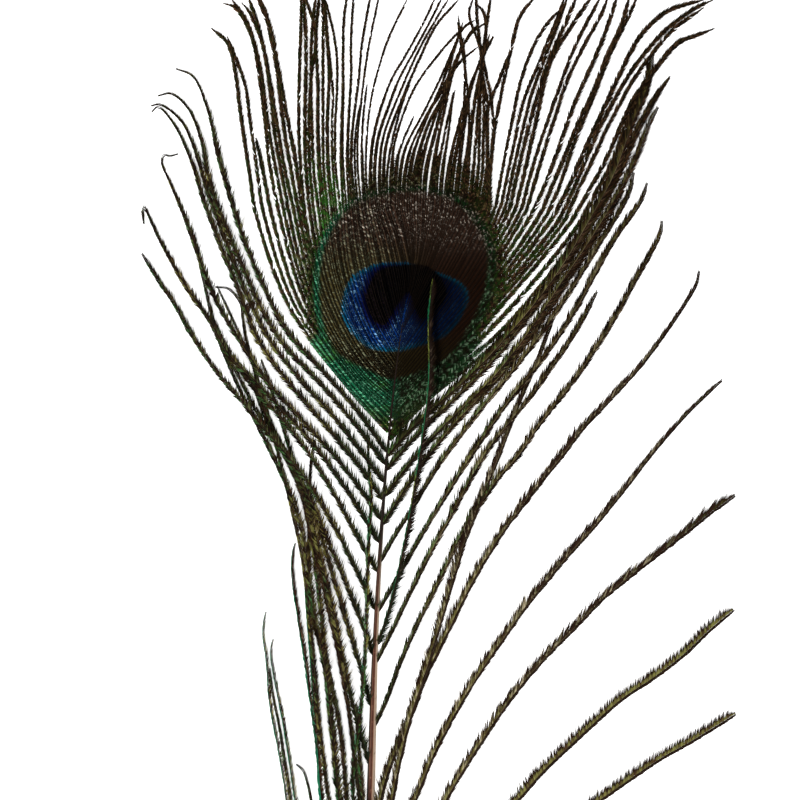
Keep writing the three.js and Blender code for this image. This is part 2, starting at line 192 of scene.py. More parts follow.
# ---- Free barbs ----
# Places on the way from the root or, in the crown, from the web's edge to the tip. Where a barb
# leaves the shaft, only the station of its first place is read.
CROWN_LEFT = (
    ((-32.4, 73.8), (-33.6, 82.5), (-35.1, 92.5), (-36.1, 100), (-36.9, 106.2), (-38.9, 114),
     (-43.1, 118)),
    ((-30.4, 73.8), (-31.9, 85), (-33.4, 95.5), (-34.6, 103.8), (-39.1, 116)),
    ((-28.4, 73.2), (-29.9, 81.2), (-31.4, 88.5), (-31.9, 90.5)),
    ((-26.4, 73.2), (-28.4, 83.8), (-29.6, 95), (-30.9, 105), (-33.1, 116.2), (-37.1, 123),
     (-40.1, 124.2)),
    ((-25.1, 73.2), (-27.1, 83.8), (-28.6, 92.5), (-29.9, 102.5), (-31.1, 109.5), (-34.1, 119.5),
     (-38.4, 125.8)),
    ((-23.9, 73.2), (-25.6, 82.5), (-27.1, 91.2), (-28.1, 100), (-29.4, 110), (-30.9, 116),
     (-33.9, 122.5), (-35.4, 124.2)),
    ((-22.6, 73.2), (-24.6, 82.5), (-26.1, 91.2), (-27.4, 98.8), (-28.6, 106.2), (-31.4, 118.8),
     (-34.1, 126.5)),
    ((-21.4, 73.2), (-23.1, 82.5), (-24.4, 90), (-25.6, 98.8), (-26.4, 106.2), (-28.9, 118.8),
     (-31.9, 127)),
    ((-20.4, 73.8), (-21.6, 82.5), (-23.1, 91.2), (-24.4, 97.5), (-26.6, 109.5), (-28.1, 117.5),
     (-31.1, 126.2)),
    ((-19.9, 73.8), (-20.6, 82.5), (-21.1, 91.2), (-21.1, 101.2), (-20.9, 110), (-20.6, 120),
     (-20.6, 127)),
    ((-18.6, 73.8), (-19.4, 83.8), (-19.6, 95), (-19.4, 105), (-19.4, 115), (-20.1, 127.5)),
    ((-17.6, 73.8), (-18.4, 83.8), (-18.6, 95), (-18.1, 105), (-16.9, 116.2), (-20.4, 128)),
    ((-16.4, 73.8), (-17.4, 82.5), (-17.9, 95), (-18.1, 105), (-17.9, 116.2), (-16.9, 126.5)),
    ((-15.4, 73.8), (-16.1, 82.5), (-16.4, 93.8), (-16.4, 105), (-16.9, 115), (-15.9, 127.5)),
    ((-14.1, 73.8), (-14.9, 82.5), (-15.1, 95), (-15.1, 110), (-15.1, 118.8), (-15.4, 128)),
    ((-13.1, 73.8), (-13.9, 82.5), (-14.1, 93.8), (-13.6, 106.2), (-14.1, 115), (-15.1, 127)),
    ((-11.9, 73.8), (-12.6, 82.5), (-12.9, 92.5), (-12.6, 101.2), (-13.4, 110), (-14.1, 117.5),
     (-14.6, 126)),
    ((-10.9, 73.8), (-11.9, 82.5), (-12.1, 92.5), (-11.6, 102.5), (-11.6, 110), (-12.4, 116.2),
     (-14.9, 126.5)),
    ((-10.1, 73.8), (-10.6, 85), (-10.4, 95), (-10.1, 102.5), (-10.1, 112.5), (-9.9, 120),
     (-8.9, 127.5)),
    ((-8.6, 73.8), (-9.1, 83.8), (-8.9, 91.2), (-8.1, 106.2), (-8.1, 115), (-7.4, 127.5)),
    ((-7.4, 73.8), (-8.1, 82.5), (-7.9, 91.2), (-6.1, 106.2), (-5.4, 113.8), (-3.1, 127)),
    ((-6.4, 73.8), (-7.1, 82.5), (-7.1, 90), (-5.9, 98.8)),
    ((-5.6, 73.8), (-6.4, 82.5), (-6.4, 91.2), (-5.6, 98.8), (-4.6, 107.5), (-3.4, 115),
     (-0.9, 127)),
    ((-4.9, 73.8), (-5.4, 82.5), (-5.4, 90), (-4.9, 97.5), (-4.1, 104)),
    ((-3.9, 73.8), (-4.4, 82.5), (-4.1, 91.2), (-3.4, 98), (-2.1, 104.5), (0.9, 114.5),
     (6.1, 125.5)),
    ((-3.1, 73.8), (-3.4, 82.5), (-2.6, 90.5), (-0.6, 98.2), (2.4, 105.8), (4.9, 110),
     (9.6, 118.5), (13.4, 126.5)),
    ((-2.1, 73.8), (-2.4, 82.5), (-1.4, 90.5), (0.9, 97.5), (3.6, 104.5), (8.4, 113.5),
     (12.6, 121.5), (14.9, 126.2)),
    ((-1.1, 73.8), (-1.1, 82.5), (-0.1, 90.5), (4.4, 102.5), (8.9, 112.5), (13.6, 121),
     (16.6, 125.8)),
    ((-0.1, 73.8), (-0.1, 82.5), (0.9, 90), (5.1, 101.2), (8.9, 110), (13.1, 118.5),
     (18.9, 125.2)),
    ((0.9, 73.8), (0.9, 82), (3.6, 95.5), (6.9, 105.5)),
    ((1.6, 73.8), (1.9, 82), (2.9, 89.5), (7.4, 102.2), (13.1, 110.5), (19.4, 117.5), (22.9, 120)),
)
CROWN_RIGHT = (
    ((2.9, 73.8), (3.4, 82), (4.1, 87.5), (7.6, 96)),
    ((3.9, 73.8), (4.4, 82), (5.6, 88), (10.4, 97.5), (14.4, 105.8), (19.9, 117.8), (21.9, 119.8)),
    ((5.1, 73.8), (5.6, 82), (6.9, 88), (11.1, 96.8), (13.6, 100.8), (17.6, 108), (23.9, 113.5)),
    ((6.4, 73.8), (6.9, 82), (7.9, 87.5), (11.1, 96), (14.6, 104), (16.1, 108.5), (18.9, 116.8),
     (18.6, 121.2)),
    ((7.6, 73.8), (8.1, 82), (11.1, 93.2), (15.4, 101.8), (18.4, 110.5), (22.6, 117.2),
     (26.6, 119.8)),
    ((9.1, 73.8), (9.4, 82), (10.6, 88), (13.6, 97.5), (15.4, 102.5), (17.6, 112.5),
     (19.9, 119.5)),
    ((10.4, 73.8), (10.9, 82), (13.4, 93), (16.9, 105.5), (20.1, 115.5)),
    ((11.6, 73.8), (13.4, 88), (15.6, 98.8), (17.6, 107.5), (20.9, 115.5), (23.6, 119)),
    ((13.1, 73.8), (13.6, 82), (14.6, 88), (16.6, 97.5), (17.9, 102.5)),
    ((14.4, 73.8), (14.9, 82), (16.4, 93), (17.4, 102)),
    ((15.6, 73.8), (16.4, 82), (18.6, 93.2), (21.6, 103), (25.1, 111.5), (27.6, 115.8)),
    ((16.9, 73.8), (17.6, 82), (19.4, 93.2), (20.1, 99), (20.1, 112), (18.4, 119.5)),
    ((18.1, 73.8), (18.9, 82), (20.4, 94.2), (22.1, 103.5), (26.6, 116.5)),
    ((19.1, 73.8), (20.1, 82), (21.4, 94), (20.6, 106), (18.9, 116.5)),
    ((20.4, 73.8), (21.1, 82), (22.4, 96.2), (23.4, 102.5), (24.6, 111), (21.4, 121.5),
     (22.6, 126)),
    ((21.4, 73.8), (22.4, 82), (23.6, 97.5), (24.4, 110), (23.4, 120), (23.1, 127)),
    ((22.4, 73.8), (23.6, 82), (23.9, 90), (24.1, 100), (24.4, 106.2), (25.4, 116), (26.9, 126.5)),
    ((23.4, 73.8), (24.6, 81.2), (24.9, 90), (25.1, 99), (24.6, 106.5), (25.6, 118.5), (24.9, 122),
     (23.1, 124.2)),
    ((24.1, 73.8), (25.6, 81.2), (25.9, 90), (25.9, 99), (24.6, 109.5), (27.4, 116)),
    ((24.9, 73.8), (26.6, 82.5), (27.4, 92), (26.9, 100), (24.4, 112.5)),
    ((25.9, 73.8), (26.1, 81.2), (25.9, 90), (25.9, 96.8), (29.1, 105.5), (31.9, 112.5)),
    ((26.6, 73.8), (26.6, 80.5), (27.4, 90), (29.1, 100), (31.6, 111.5), (34.1, 120.8),
     (38.1, 126)),
    ((28.1, 73.8), (29.6, 82), (32.4, 96.2), (34.4, 105), (37.9, 114.2), (42.4, 120.8),
     (44.6, 122.8)),
    ((29.4, 73.8), (32.4, 88), (35.1, 100), (39.4, 110.5), (43.4, 120.5), (45.4, 126)),
    ((30.6, 73.8), (32.1, 81), (35.1, 94), (36.9, 101), (39.1, 107.2), (43.6, 119), (46.1, 126)),
    ((31.6, 73.2), (33.1, 80), (36.1, 92.5), (39.6, 105), (41.6, 110.5), (46.1, 120.5),
     (48.4, 126.2)),
    ((33.1, 73.2), (34.9, 80.5), (36.6, 88), (38.1, 94.5), (41.6, 109), (47.4, 119),
     (52.6, 126.5)),
    ((34.6, 73.2), (36.6, 80.8), (39.1, 89.2), (41.1, 95), (44.6, 105), (48.4, 114.5),
     (54.4, 126)),
    ((35.9, 73), (38.1, 80.5), (40.6, 88.8), (42.6, 94.8), (45.9, 104.8), (50.1, 113.5),
     (54.6, 121.8), (56.4, 126.5)),
    ((37.6, 72.5), (40.9, 80.2), (43.6, 87.5), (47.6, 98.8), (50.6, 105.5), (54.4, 114.2),
     (58.6, 126.2)),
    ((39.4, 72), (44.9, 85), (49.4, 96), (51.9, 101), (55.4, 110), (59.4, 118.8), (61.6, 126.2)),
    ((41.1, 71.8), (43.6, 77.5), (47.6, 89), (52.4, 100.8), (56.9, 112), (61.4, 121.2),
     (63.6, 126.2)),
    ((42.6, 71.2), (45.9, 77.5), (49.1, 84.8), (51.9, 91), (56.4, 100.8), (58.6, 105.5),
     (64.4, 116.2), (71.1, 122.2), (79.9, 125)),
    ((44.1, 70.5), (47.4, 77.5), (53.6, 92.2), (59.4, 103), (63.1, 108.8), (70.6, 117.5),
     (78.1, 123), (82.4, 125)),
    ((45.4, 70.2), (48.9, 78), (52.6, 85.8), (55.4, 92), (61.6, 103.5), (65.4, 109.2),
     (72.1, 117.2), (79.9, 123)),
    ((47.1, 70), (51.4, 77.5), (54.9, 83.8), (59.9, 94.8), (62.4, 100.2), (68.4, 108.2),
     (73.6, 114), (82.6, 117.8)),
    ((49.1, 69.5), (53.1, 77), (56.6, 83.5), (61.4, 95.8), (64.1, 101.8), (69.6, 110), (74.4, 115),
     (77.1, 115.8)),
    ((50.9, 69.2), (57.4, 81), (62.1, 94), (65.9, 103), (65.9, 109), (65.1, 110.5)),
    ((52.1, 69.2), (58.6, 81), (63.4, 93), (68.1, 101), (71.6, 105.8)),
)
HERLS_LEFT = (
    ((0.9, 12), (-6.6, 22.5), (-15.4, 32.5), (-23.9, 42), (-30.1, 53.8), (-35.1, 65.8),
     (-37.1, 72), (-41.1, 85.5), (-43.9, 97.5), (-47.6, 105.8), (-51.9, 107.8)),
    ((0.6, 8.8), (-7.9, 20), (-16.6, 30), (-24.9, 38.8), (-30.6, 48.2), (-35.1, 58.2),
     (-39.9, 69.5), (-42.4, 76.2), (-44.4, 83.8), (-45.4, 89.5), (-48.9, 98), (-53.1, 101.5),
     (-56.4, 101)),
    ((0.4, 4.5), (-8.9, 16.5), (-13.4, 22), (-21.6, 31), (-28.1, 39.5), (-30.9, 44.5),
     (-35.9, 55.5), (-40.1, 66.8), (-44.1, 77.5), (-45.9, 83.8), (-50.4, 94.5), (-55.9, 98.8),
     (-58.1, 98.5)),
    ((0.1, 0), (-4.9, 7), (-9.9, 13.2), (-14.9, 19.2), (-23.4, 29), (-29.4, 37), (-31.9, 41.2),
     (-35.9, 51.8), (-40.9, 64.2), (-45.4, 76.2), (-47.4, 83), (-52.1, 93.5), (-56.4, 98.2),
     (-57.9, 97)),
    ((-0.4, -5), (-5.6, 2.5), (-10.9, 9.5), (-21.4, 21.2), (-29.4, 30), (-35.6, 39.5),
     (-41.4, 49.2), (-45.1, 58), (-48.9, 68.8), (-53.1, 78.8), (-55.4, 84.5), (-54.9, 86.2),
     (-53.4, 86), (-51.4, 86.5)),
    ((-0.9, -10.8), (-5.1, -3.8), (-9.1, 2.5), (-17.9, 14.5), (-25.9, 23.2), (-32.9, 30.5),
     (-38.4, 36), (-43.4, 44.8), (-49.6, 53.8), (-55.9, 65), (-59.9, 73), (-59.9, 69)),
    ((-1.4, -18), (-5.4, -11.2), (-9.4, -3.8), (-13.1, 3), (-17.1, 9.5), (-25.1, 20), (-32.4, 28),
     (-38.1, 36), (-42.4, 44.5), (-44.9, 54.5), (-46.1, 59)),
    ((-1.6, -27.5), (-5.4, -20.5), (-9.4, -12), (-13.4, -4.5), (-20.1, 6.2), (-24.1, 11.2),
     (-31.6, 20), (-35.1, 24.5), (-41.6, 32), (-47.1, 40), (-52.9, 50), (-55.9, 54.2),
     (-60.4, 61.5)),
    ((-1.9, -38.8), (-4.9, -32), (-10.9, -17), (-13.9, -10), (-16.9, -2.5), (-24.4, 11),
     (-31.9, 22.5), (-36.6, 31.5), (-40.9, 38.5)),
    ((-2.4, -51.5), (-5.4, -43), (-7.9, -34.5), (-10.6, -25.5), (-13.1, -17), (-15.4, -9.5),
     (-17.6, -2.5), (-20.4, 3.8), (-23.9, 10.5), (-27.1, 17), (-29.9, 23), (-31.9, 28.8)),
    ((-2.6, -66.2), (-5.6, -58.8), (-7.9, -50), (-9.9, -40.5), (-11.9, -30.5), (-13.9, -21.5),
     (-15.9, -13.2), (-17.6, -5.5), (-19.9, 1.2), (-23.1, 8), (-29.6, 20.5), (-32.9, 30)),
)
HERLS_LEFT_LOW = (
    ((-4.6, -97.5), (-5.9, -75), (-7.1, -65), (-8.4, -53.8), (-9.9, -45), (-11.6, -36.2),
     (-13.9, -26.2), (-15.6, -17.5), (-17.9, -8.8), (-19.9, 0), (-22.1, 6), (-24.6, 11.2),
     (-27.1, 16), (-29.1, 21.2), (-30.6, 26.2), (-31.9, 31), (-33.1, 35.8), (-34.4, 40.5),
     (-35.1, 45), (-35.6, 48.8), (-36.9, 51), (-38.9, 52.8), (-41.9, 53.2)),
    ((-4.6, -106.2), (-9.4, -85), (-10.9, -75), (-11.9, -65), (-13.1, -55), (-14.1, -45),
     (-15.4, -37.5), (-16.9, -30), (-18.1, -22.5), (-19.1, -15), (-20.4, -7.5), (-22.4, -0.5),
     (-25.9, 7.5), (-29.9, 15.5), (-33.4, 22.5), (-36.4, 28.5), (-38.6, 33.5), (-40.4, 37.5),
     (-41.6, 40.5)),
    ((-5.1, -116.2), (-10.9, -92.5), (-13.6, -75), (-14.9, -65), (-16.1, -55), (-16.9, -45),
     (-17.9, -35), (-18.9, -25), (-20.1, -15), (-21.9, -6.2), (-23.9, 2), (-25.9, 10), (-27.9, 18),
     (-30.4, 27), (-33.1, 34.8), (-35.6, 40.5), (-37.9, 45.5), (-39.9, 49.8), (-41.6, 53.5)),
    ((-5.4, -122.5), (-11.9, -97.5), (-15.6, -75), (-16.4, -65), (-17.1, -57.5), (-18.4, -48.8),
     (-19.4, -41.2), (-20.4, -35), (-21.4, -28.8), (-22.4, -22.5), (-22.9, -16.2), (-22.6, -12.5),
     (-22.1, -10.8)),
    ((-5.4, -127.5), (-12.4, -102.5), (-15.4, -75), (-16.4, -61.2), (-17.4, -50), (-18.1, -40),
     (-18.9, -31.2), (-19.4, -24.5), (-19.6, -19.5)),
    ((-5.9, -136.2), (-16.4, -107.5), (-21.4, -87.5), (-23.4, -80), (-24.6, -71.2), (-26.1, -62.5),
     (-27.6, -55), (-28.6, -48.8), (-28.9, -43.8), (-29.4, -38.8), (-30.1, -33.8), (-29.9, -30),
     (-29.4, -27.8)),
    ((-5.6, -132.5), (-15.4, -105), (-19.6, -87.5), (-21.4, -78), (-22.6, -70.5), (-23.6, -63.8),
     (-24.9, -56.2), (-26.1, -50), (-27.4, -43.8), (-28.1, -38.8), (-28.1, -36.5), (-27.6, -34.8)),
    ((-5.9, -140), (-16.4, -110), (-20.9, -91.2), (-22.6, -78.8), (-23.9, -70), (-24.9, -63.8),
     (-26.1, -56.2), (-27.4, -50), (-28.1, -45.5), (-28.4, -42)),
    ((-5.4, -125), (-12.9, -101.2), (-16.6, -85), (-18.1, -75), (-18.9, -71.2), (-19.9, -68),
     (-20.9, -66.8), (-21.9, -66)),
    ((-4.4, -92.5), (-7.4, -75), (-7.6, -66.2), (-6.6, -58.8), (-5.6, -51.2), (-4.9, -43),
     (-4.4, -35), (-4.1, -25), (-3.9, -15), (-3.6, -7.5), (-3.1, 0), (-3.6, 7.5), (-3.9, 13.8),
     (-4.1, 17.5)),
    ((-4.4, -95), (-5.1, -75), (-5.9, -65), (-6.6, -57), (-6.6, -51.2)),
    ((-4.4, -101.2), (-7.9, -85), (-9.1, -75), (-9.9, -65), (-11.1, -55), (-12.9, -46.2),
     (-15.4, -37.5), (-17.4, -30), (-18.4, -22.5), (-18.6, -15), (-18.6, -5), (-18.1, 9.5),
     (-17.1, 14.8)),
    ((-4.9, -112.5), (-9.4, -90), (-11.1, -75), (-12.4, -62.5), (-13.4, -50), (-14.6, -37.5),
     (-15.9, -25), (-17.1, -15), (-19.1, -3), (-21.1, 5), (-23.4, 12.5), (-25.6, 19.8),
     (-27.6, 26), (-29.4, 31.5), (-30.6, 35)),
)
HERLS_RIGHT = (
    ((0.9, 11), (4.9, 15.5), (10.4, 21), (16.6, 26.5), (23.6, 33), (29.6, 39.5), (35.4, 46.2),
     (40.9, 53.2), (46.1, 60.8), (50.6, 68.5), (54.4, 75.2), (57.4, 81), (59.9, 87.5), (62.1, 94),
     (65.9, 103), (67.4, 111.5)),
    ((0.6, 7.5), (9.1, 17), (15.4, 23), (21.6, 29), (27.9, 35.5), (33.6, 42.5), (39.1, 49.5),
     (44.1, 56.5), (48.6, 63.2), (52.6, 70), (56.1, 76), (59.6, 83), (64.1, 93.5), (69.1, 102.2),
     (71.4, 105.5)),
    ((0.4, 0.8), (8.1, 11), (14.1, 17.5), (19.9, 23.2), (26.1, 29.2), (31.6, 35.8), (36.6, 42.5),
     (44.9, 55), (52.1, 65.8), (58.6, 76.5), (63.4, 86.2), (66.6, 94.5), (68.6, 98.2)),
    ((0.1, -6.2), (3.4, -0.5), (7.9, 6.5), (13.4, 13.8), (18.6, 20), (29.6, 31.5), (34.6, 38),
     (39.1, 44), (45.9, 54.8), (53.1, 66), (60.1, 77.5)),
    ((-0.4, -15.5), (3.1, -8.8), (7.4, -2), (13.4, 8), (19.6, 16.5), (24.6, 23), (29.1, 28.5),
     (34.1, 34.5), (39.1, 41), (46.6, 52), (53.4, 63), (56.9, 68.5), (61.4, 76.5), (62.6, 81.8)),
    ((-0.9, -28), (2.4, -21.5), (6.1, -15), (11.6, -5.5), (17.1, 3.5), (21.6, 10.5), (26.6, 18),
     (31.1, 24.5), (36.1, 30.5), (41.1, 37), (48.6, 48.5), (52.1, 55), (58.1, 65.5), (64.6, 75),
     (65.9, 79.2)),
    ((-0.9, -40.8), (2.6, -32), (7.1, -22.5), (12.1, -12.5), (17.4, -3), (22.1, 5.8), (26.6, 13.2),
     (31.1, 19), (36.6, 25.5), (41.6, 32.5), (46.1, 38.8), (50.1, 45.5), (53.4, 52)),
    ((-1.4, -56.8), (0.9, -50), (4.4, -40.5), (8.6, -31), (14.1, -20), (17.9, -11.8), (21.4, -5.5),
     (29.1, 6), (33.6, 11), (39.1, 19), (46.6, 28.5), (52.9, 37.5), (57.9, 45.5), (63.1, 55),
     (67.4, 62.5), (69.4, 67), (69.6, 69.8)),
)
HERLS_RIGHT_LOW = (
    ((-2.6, -88.8), (-0.1, -72.5), (1.9, -66), (4.9, -58.8), (7.9, -51.5), (11.1, -43),
     (14.4, -36.2), (18.1, -28.8), (21.9, -21), (26.6, -13), (31.1, -6.2), (35.9, 0), (40.4, 5.8),
     (44.6, 11), (49.6, 17.5), (56.6, 25), (64.1, 33.2), (71.1, 42.5), (76.6, 50.8), (78.4, 54.2),
     (78.9, 57.2)),
    ((-3.4, -100), (0.1, -85), (2.4, -74.2), (4.6, -63), (7.1, -53), (10.1, -44.2), (12.9, -35),
     (15.6, -26), (18.1, -17.5), (20.4, -10), (23.1, -3), (28.4, 9.8), (30.6, 15.5), (34.1, 24.5),
     (38.9, 35.5), (43.6, 48.5)),
    ((-3.9, -107.5), (2.9, -87.5), (8.4, -73.8), (11.9, -65), (15.6, -57.5), (20.4, -49),
     (24.4, -42.5), (29.6, -35), (35.6, -26.5), (40.9, -20), (46.1, -13.8), (52.1, -7.2),
     (57.1, -1.2), (62.1, 5), (65.9, 10), (71.1, 16.2), (76.6, 22.2), (82.1, 27.5), (84.6, 29.8)),
    ((-4.4, -115), (5.4, -95), (16.6, -73), (20.6, -66.2), (24.6, -60), (29.4, -52.8),
     (34.4, -46.2), (40.6, -39), (47.1, -32.5), (54.4, -25), (61.6, -19), (68.1, -14), (74.6, -9),
     (82.1, -3), (87.9, 1)),
    ((-4.9, -127.5), (9.1, -103.8), (21.6, -87.5), (34.1, -74.2), (39.4, -68.2), (45.6, -62.2),
     (52.1, -56.2), (59.4, -49.8), (66.9, -44.8), (74.6, -39), (82.1, -32), (87.6, -27.5)),
    ((-5.4, -136.2), (11.6, -111.2), (29.1, -93.8), (44.1, -81.5), (54.6, -74.5), (61.9, -69.5),
     (69.4, -64.5), (76.6, -60.5), (82.1, -57.2), (88.1, -53.5)),
)
STRAY = (
    ((-0.9, -36.2), (0.6, -30), (2.9, -21.5), (4.6, -14), (7.1, -1.2), (9.1, 11.2), (11.1, 25),
     (11.6, 33.8), (11.4, 45.5), (12.4, 55.2)),
)
HERL_POINTS = 10  # points of a loose barb's line for each span
NEAR_FROM = -14.0  # right barbs that leave the shaft above here are full from the root on

SHORT_BARB_PAIRS = 5
SHORT_BARB_FIRST = -138.5  # station of the uppermost pair above the quill
SHORT_BARB_PITCH = 4.5
SHORT_BARB_LENGTH = 88.0
SHORT_BARB_SHRINK = 0.72
SHORT_BARB_REACH = ((-1, 0.3, 0.68), (1, 0.74, 0.66))  # side, sideways and upward shares
SHORT_BARB_PLACES = (0.3, 0.65, 1.0)  # shares of the way to the tip
SHORT_BARB_BOW = (0.85, 1.15)  # powers of the share that bend it, sideways and upward

# ---- Camera, lights and floor, in metres ----
FLOOR_HALF = 3.0
FLOOR_GLOW = 0.94  # makes the floor read as lit paper
SKY_STRENGTH = 0.12
LIT_PLACE = Vector((0.004, 0.025, 0))  # the lights face this place in the eye
LIGHT_DISTANCE = 1.0
CAMERA_PLACE = (0.004125, 0.025, 1.2)
CAMERA_LENS, CAMERA_SENSOR = 216, 36  # in mm
CAMERA_SIGHT = 10


def read_off(pairs: Route, place: np.ndarray | float) -> np.ndarray:
    """Linear reading of a list of (place, value) pairs."""
    return np.interp(place, [p for p, _ in pairs], [v for _, v in pairs])


def linear(hex_colour: str) -> tuple[float, float, float, float]:
    """Turns an sRGB hex colour such as "#3a2c16" to linear light, by the standard's curve.

    Args:
        hex_colour: Six hex digits after a hash.

    Returns:
        Linear red, green, blue and an alpha of 1.
    """
    shares = [int(hex_colour[i : i + 2], 16) / 255 for i in (1, 3, 5)]
    light = [s / 12.92 if s <= 0.04045 else ((s + 0.055) / 1.055) ** 2.4 for s in shares]
    return (light[0], light[1], light[2], 1.0)


def unit(vectors: np.ndarray) -> np.ndarray:
    """Vectors of length 1 in the same directions."""
    return vectors / np.maximum(np.linalg.norm(vectors, axis=-1, keepdims=True), TINY)


def smoothstep(low: float, high: float, value: np.ndarray) -> np.ndarray:
    """Smooth rise from 0 at low to 1 at high."""
    share = np.clip((value - low) / (high - low), 0, 1)
    return share * share * (3 - 2 * share)


def smooth_line(points: np.ndarray, per_span: int, closed: bool = False) -> np.ndarray:
    """A smooth line through the points, as a centripetal Catmull-Rom spline.

    Args:
        points: The places passed, N by 2 or N by 3.
        per_span: Points of the result for each span.
        closed: Whether the line ends where it starts.

    Returns:
        The points of the smooth line.
    """
    if closed:
        around = np.vstack([points[-1:], points, points[:2]])
    else:
        around = np.vstack([2 * points[0] - points[1], points, 2 * points[-1] - points[-2]])
    spans = []
    for i in range(len(around) - 3):
        a, b, c, d = around[i : i + 4]
        gaps = [math.sqrt(np.linalg.norm(q - p)) for p, q in ((a, b), (b, c), (c, d))]
        knots = np.cumsum([0.0, *gaps])
        t = np.linspace(knots[1], knots[2], per_span, endpoint=False)[:, None]

        def mix(p: np.ndarray, q: np.ndarray, at_p: float, at_q: float) -> np.ndarray:
            """Mixes two places by where t lies between their knots."""
            return ((at_q - t) * p + (t - at_p) * q) / (at_q - at_p)

        ab, bc, cd = (mix(*pair) for pair in (
            (a, b, knots[0], knots[1]), (b, c, knots[1], knots[2]), (c, d, knots[2], knots[3])
        ))
        abc, bcd = mix(ab, bc, knots[0], knots[2]), mix(bc, cd, knots[1], knots[3])
        spans.append(mix(abc, bcd, knots[1], knots[2]))
    return np.vstack(spans if closed else [*spans, around[-2:-1]])


def arc_lengths(line: np.ndarray) -> np.ndarray:
    """Distance along the line at each of its points."""
    return np.concatenate([[0.0], np.cumsum(np.linalg.norm(np.diff(line, axis=0), axis=1))])


def resample(line: np.ndarray, count: int) -> np.ndarray:
    """The line with count points at even distances."""
    arc = arc_lengths(line)
    even = np.linspace(0, arc[-1], count)
    return np.stack([np.interp(even, arc, line[:, k]) for k in range(line.shape[1])], axis=1)


SHAFT_PLAN = smooth_line(np.array(SHAFT_LINE, float), 24)


def shaft_at(station: np.ndarray | float) -> np.ndarray:
    """X of the shaft's middle line at stations along Y."""
    return np.interp(station, SHAFT_PLAN[:, 1], SHAFT_PLAN[:, 0])


def root_place(station: float, side: int) -> tuple[float, float]:
    """Place in plan where a barb leaves the shaft, on the side -1 left or 1 right."""
    outset = side * ROOT_OUTSET_SHARE * read_off(SHAFT_WIDTHS, station)
    return (float(shaft_at(station) + outset), station)


class Side(Enum):
    """The two sides of a line, seen along it from above."""

    LEFT = -1
    RIGHT = 1


class Marking:
    """A closed outline on the eye that tells how far a place lies from its edge."""

    def __init__(self, outline: Route) -> None:
        """Smooths the outline.

        Args:
            outline: Places around the marking.
        """
        self.edge = smooth_line(np.array(outline, float), 10, closed=True)

    def distance(self, places: np.ndarray) -> np.ndarray:
        """Signed distances from the edge, below 0 inside.

        Args:
            places: N by 2 places in plan.

        Returns:
            N distances in mm.
        """
        starts, ends = self.edge, np.roll(self.edge, -1, axis=0)
        spans = ends - starts
        nearest = np.full(len(places), np.inf)
        crossings = np.zeros(len(places), int)
        for start, end, span in zip(starts, ends, spans):
            offset = places - start
            share = np.clip(offset @ span / (span @ span), 0, 1)[:, None]
            nearest = np.minimum(nearest, np.linalg.norm(offset - share * span, axis=1))
            straddles = (start[1] > places[:, 1]) != (end[1] > places[:, 1])
            run = span[0] / (span[1] if abs(span[1]) > TINY else TINY)
            crossings += straddles & (places[:, 0] < start[0] + (places[:, 1] - start[1]) * run)
        return np.where(crossings % 2 == 1, -nearest, nearest)


HEART, BLUE, DISC = Marking(HEART_OUTLINE), Marking(BLUE_OUTLINE), Marking(DISC_OUTLINE)


@dataclass(frozen=True)
class Fringe:
    """The barbules along one edge of a barb, in mm and degrees."""

    length: float
    sweep: float  # angle between a barbule and the barb's direction
    green: float = 0.2  # greenness
    base: float = 0.16  # half the width of a barbule at its root
    bend: float = 14.0  # how much further forward the outer half leans
    tilt: Span = (-12.0, 16.0)  # least and greatest elevation
    pale: float = 0.1  # how much carries painted highlights
    stubble: float = 0.8  # length of the barbules between the teeth of its comb, as a share
    teeth: int = 4  # of every so many barbules a third, rounded down, stand out as one tooth


@dataclass(frozen=True)
class BarbStyle:
    """Sizes of a kind of barb, in mm."""

    pitch: float  # between barbules on one edge
    left: Fringe
    right: Fringe
    ramus: Span = (0.3, 0.34)  # width and depth of the barb's own shaft
    ramus_end: float = 0.4  # share of that which is left at the tip
    tip_fade: float = 0.07  # share of the length over which barbules shorten to the tip
    fine_tip: float = 0.0  # how thread-like the tip is
    root_fade: float = 0.005  # share over which they grow from the root
    root_share: float = 0.0  # their length at the root, as a share
    notches: float = 0.0  # share of the length where barbules are missing
    pale: float = 0.1  # how much of the ramus carries the painted highlight streak
    closing: float = 1.0  # how much the comb closes towards the tip
    root_closing: float = 0.0  # the same towards the root
    ragged: float = 1.0  # how unevenly the comb has parted

    def fringe(self, hand: int) -> Fringe:
        """The left fringe for -1 and the right one for 1."""
        return self.left if hand < 0 else self.right


@dataclass(frozen=True)
class Comb:
    """How the spikes of a free barb stand, in mm, degrees and shares."""

    closes: Span = (0.55, 0.9)  # shares of the barb between which the comb closes to the tip
    root_opens: Span = (0.12, 0.4)  # shares between which a comb closed at the root opens
    calm: float = 0.6  # how much less ragged a closed comb is
    clump: float = 0.55  # neighbours within this reach lean and grow alike
    stature: float = 0.84  # mean length
    clump_stature: float = 0.36  # how much of the length differs from clump to clump
    own_stature: float = 0.12  # and from spike to spike
    starts: int = 4  # number of places in the rhythm of the teeth that a barb may start with
    stubble: float = 0.9  # length between the teeth of a closed comb
    clump_lean: float = 12.0  # degrees that clumps lean apart
    own_lean: float = 3.0  # and spikes
    closing: float = 0.35  # how much closer the spikes of a closed comb lie
    outset: float = 0.35  # start of a spike off the middle of the ramus, in widths of it
    sink: float = 0.05  # and below it
    least_width: float = 0.6
    tooth_width: float = 1.35
    ridge_at: float = 0.35  # place of the ridge's highest point along the spike
    ridge: float = 0.8  # its height, in half widths
    tone_clump: float = 0.7  # neighbours within this reach look alike
    tones: tuple[float, float, float] = (0.4, 0.4, 0.2)  # tone from clump, spike and tooth


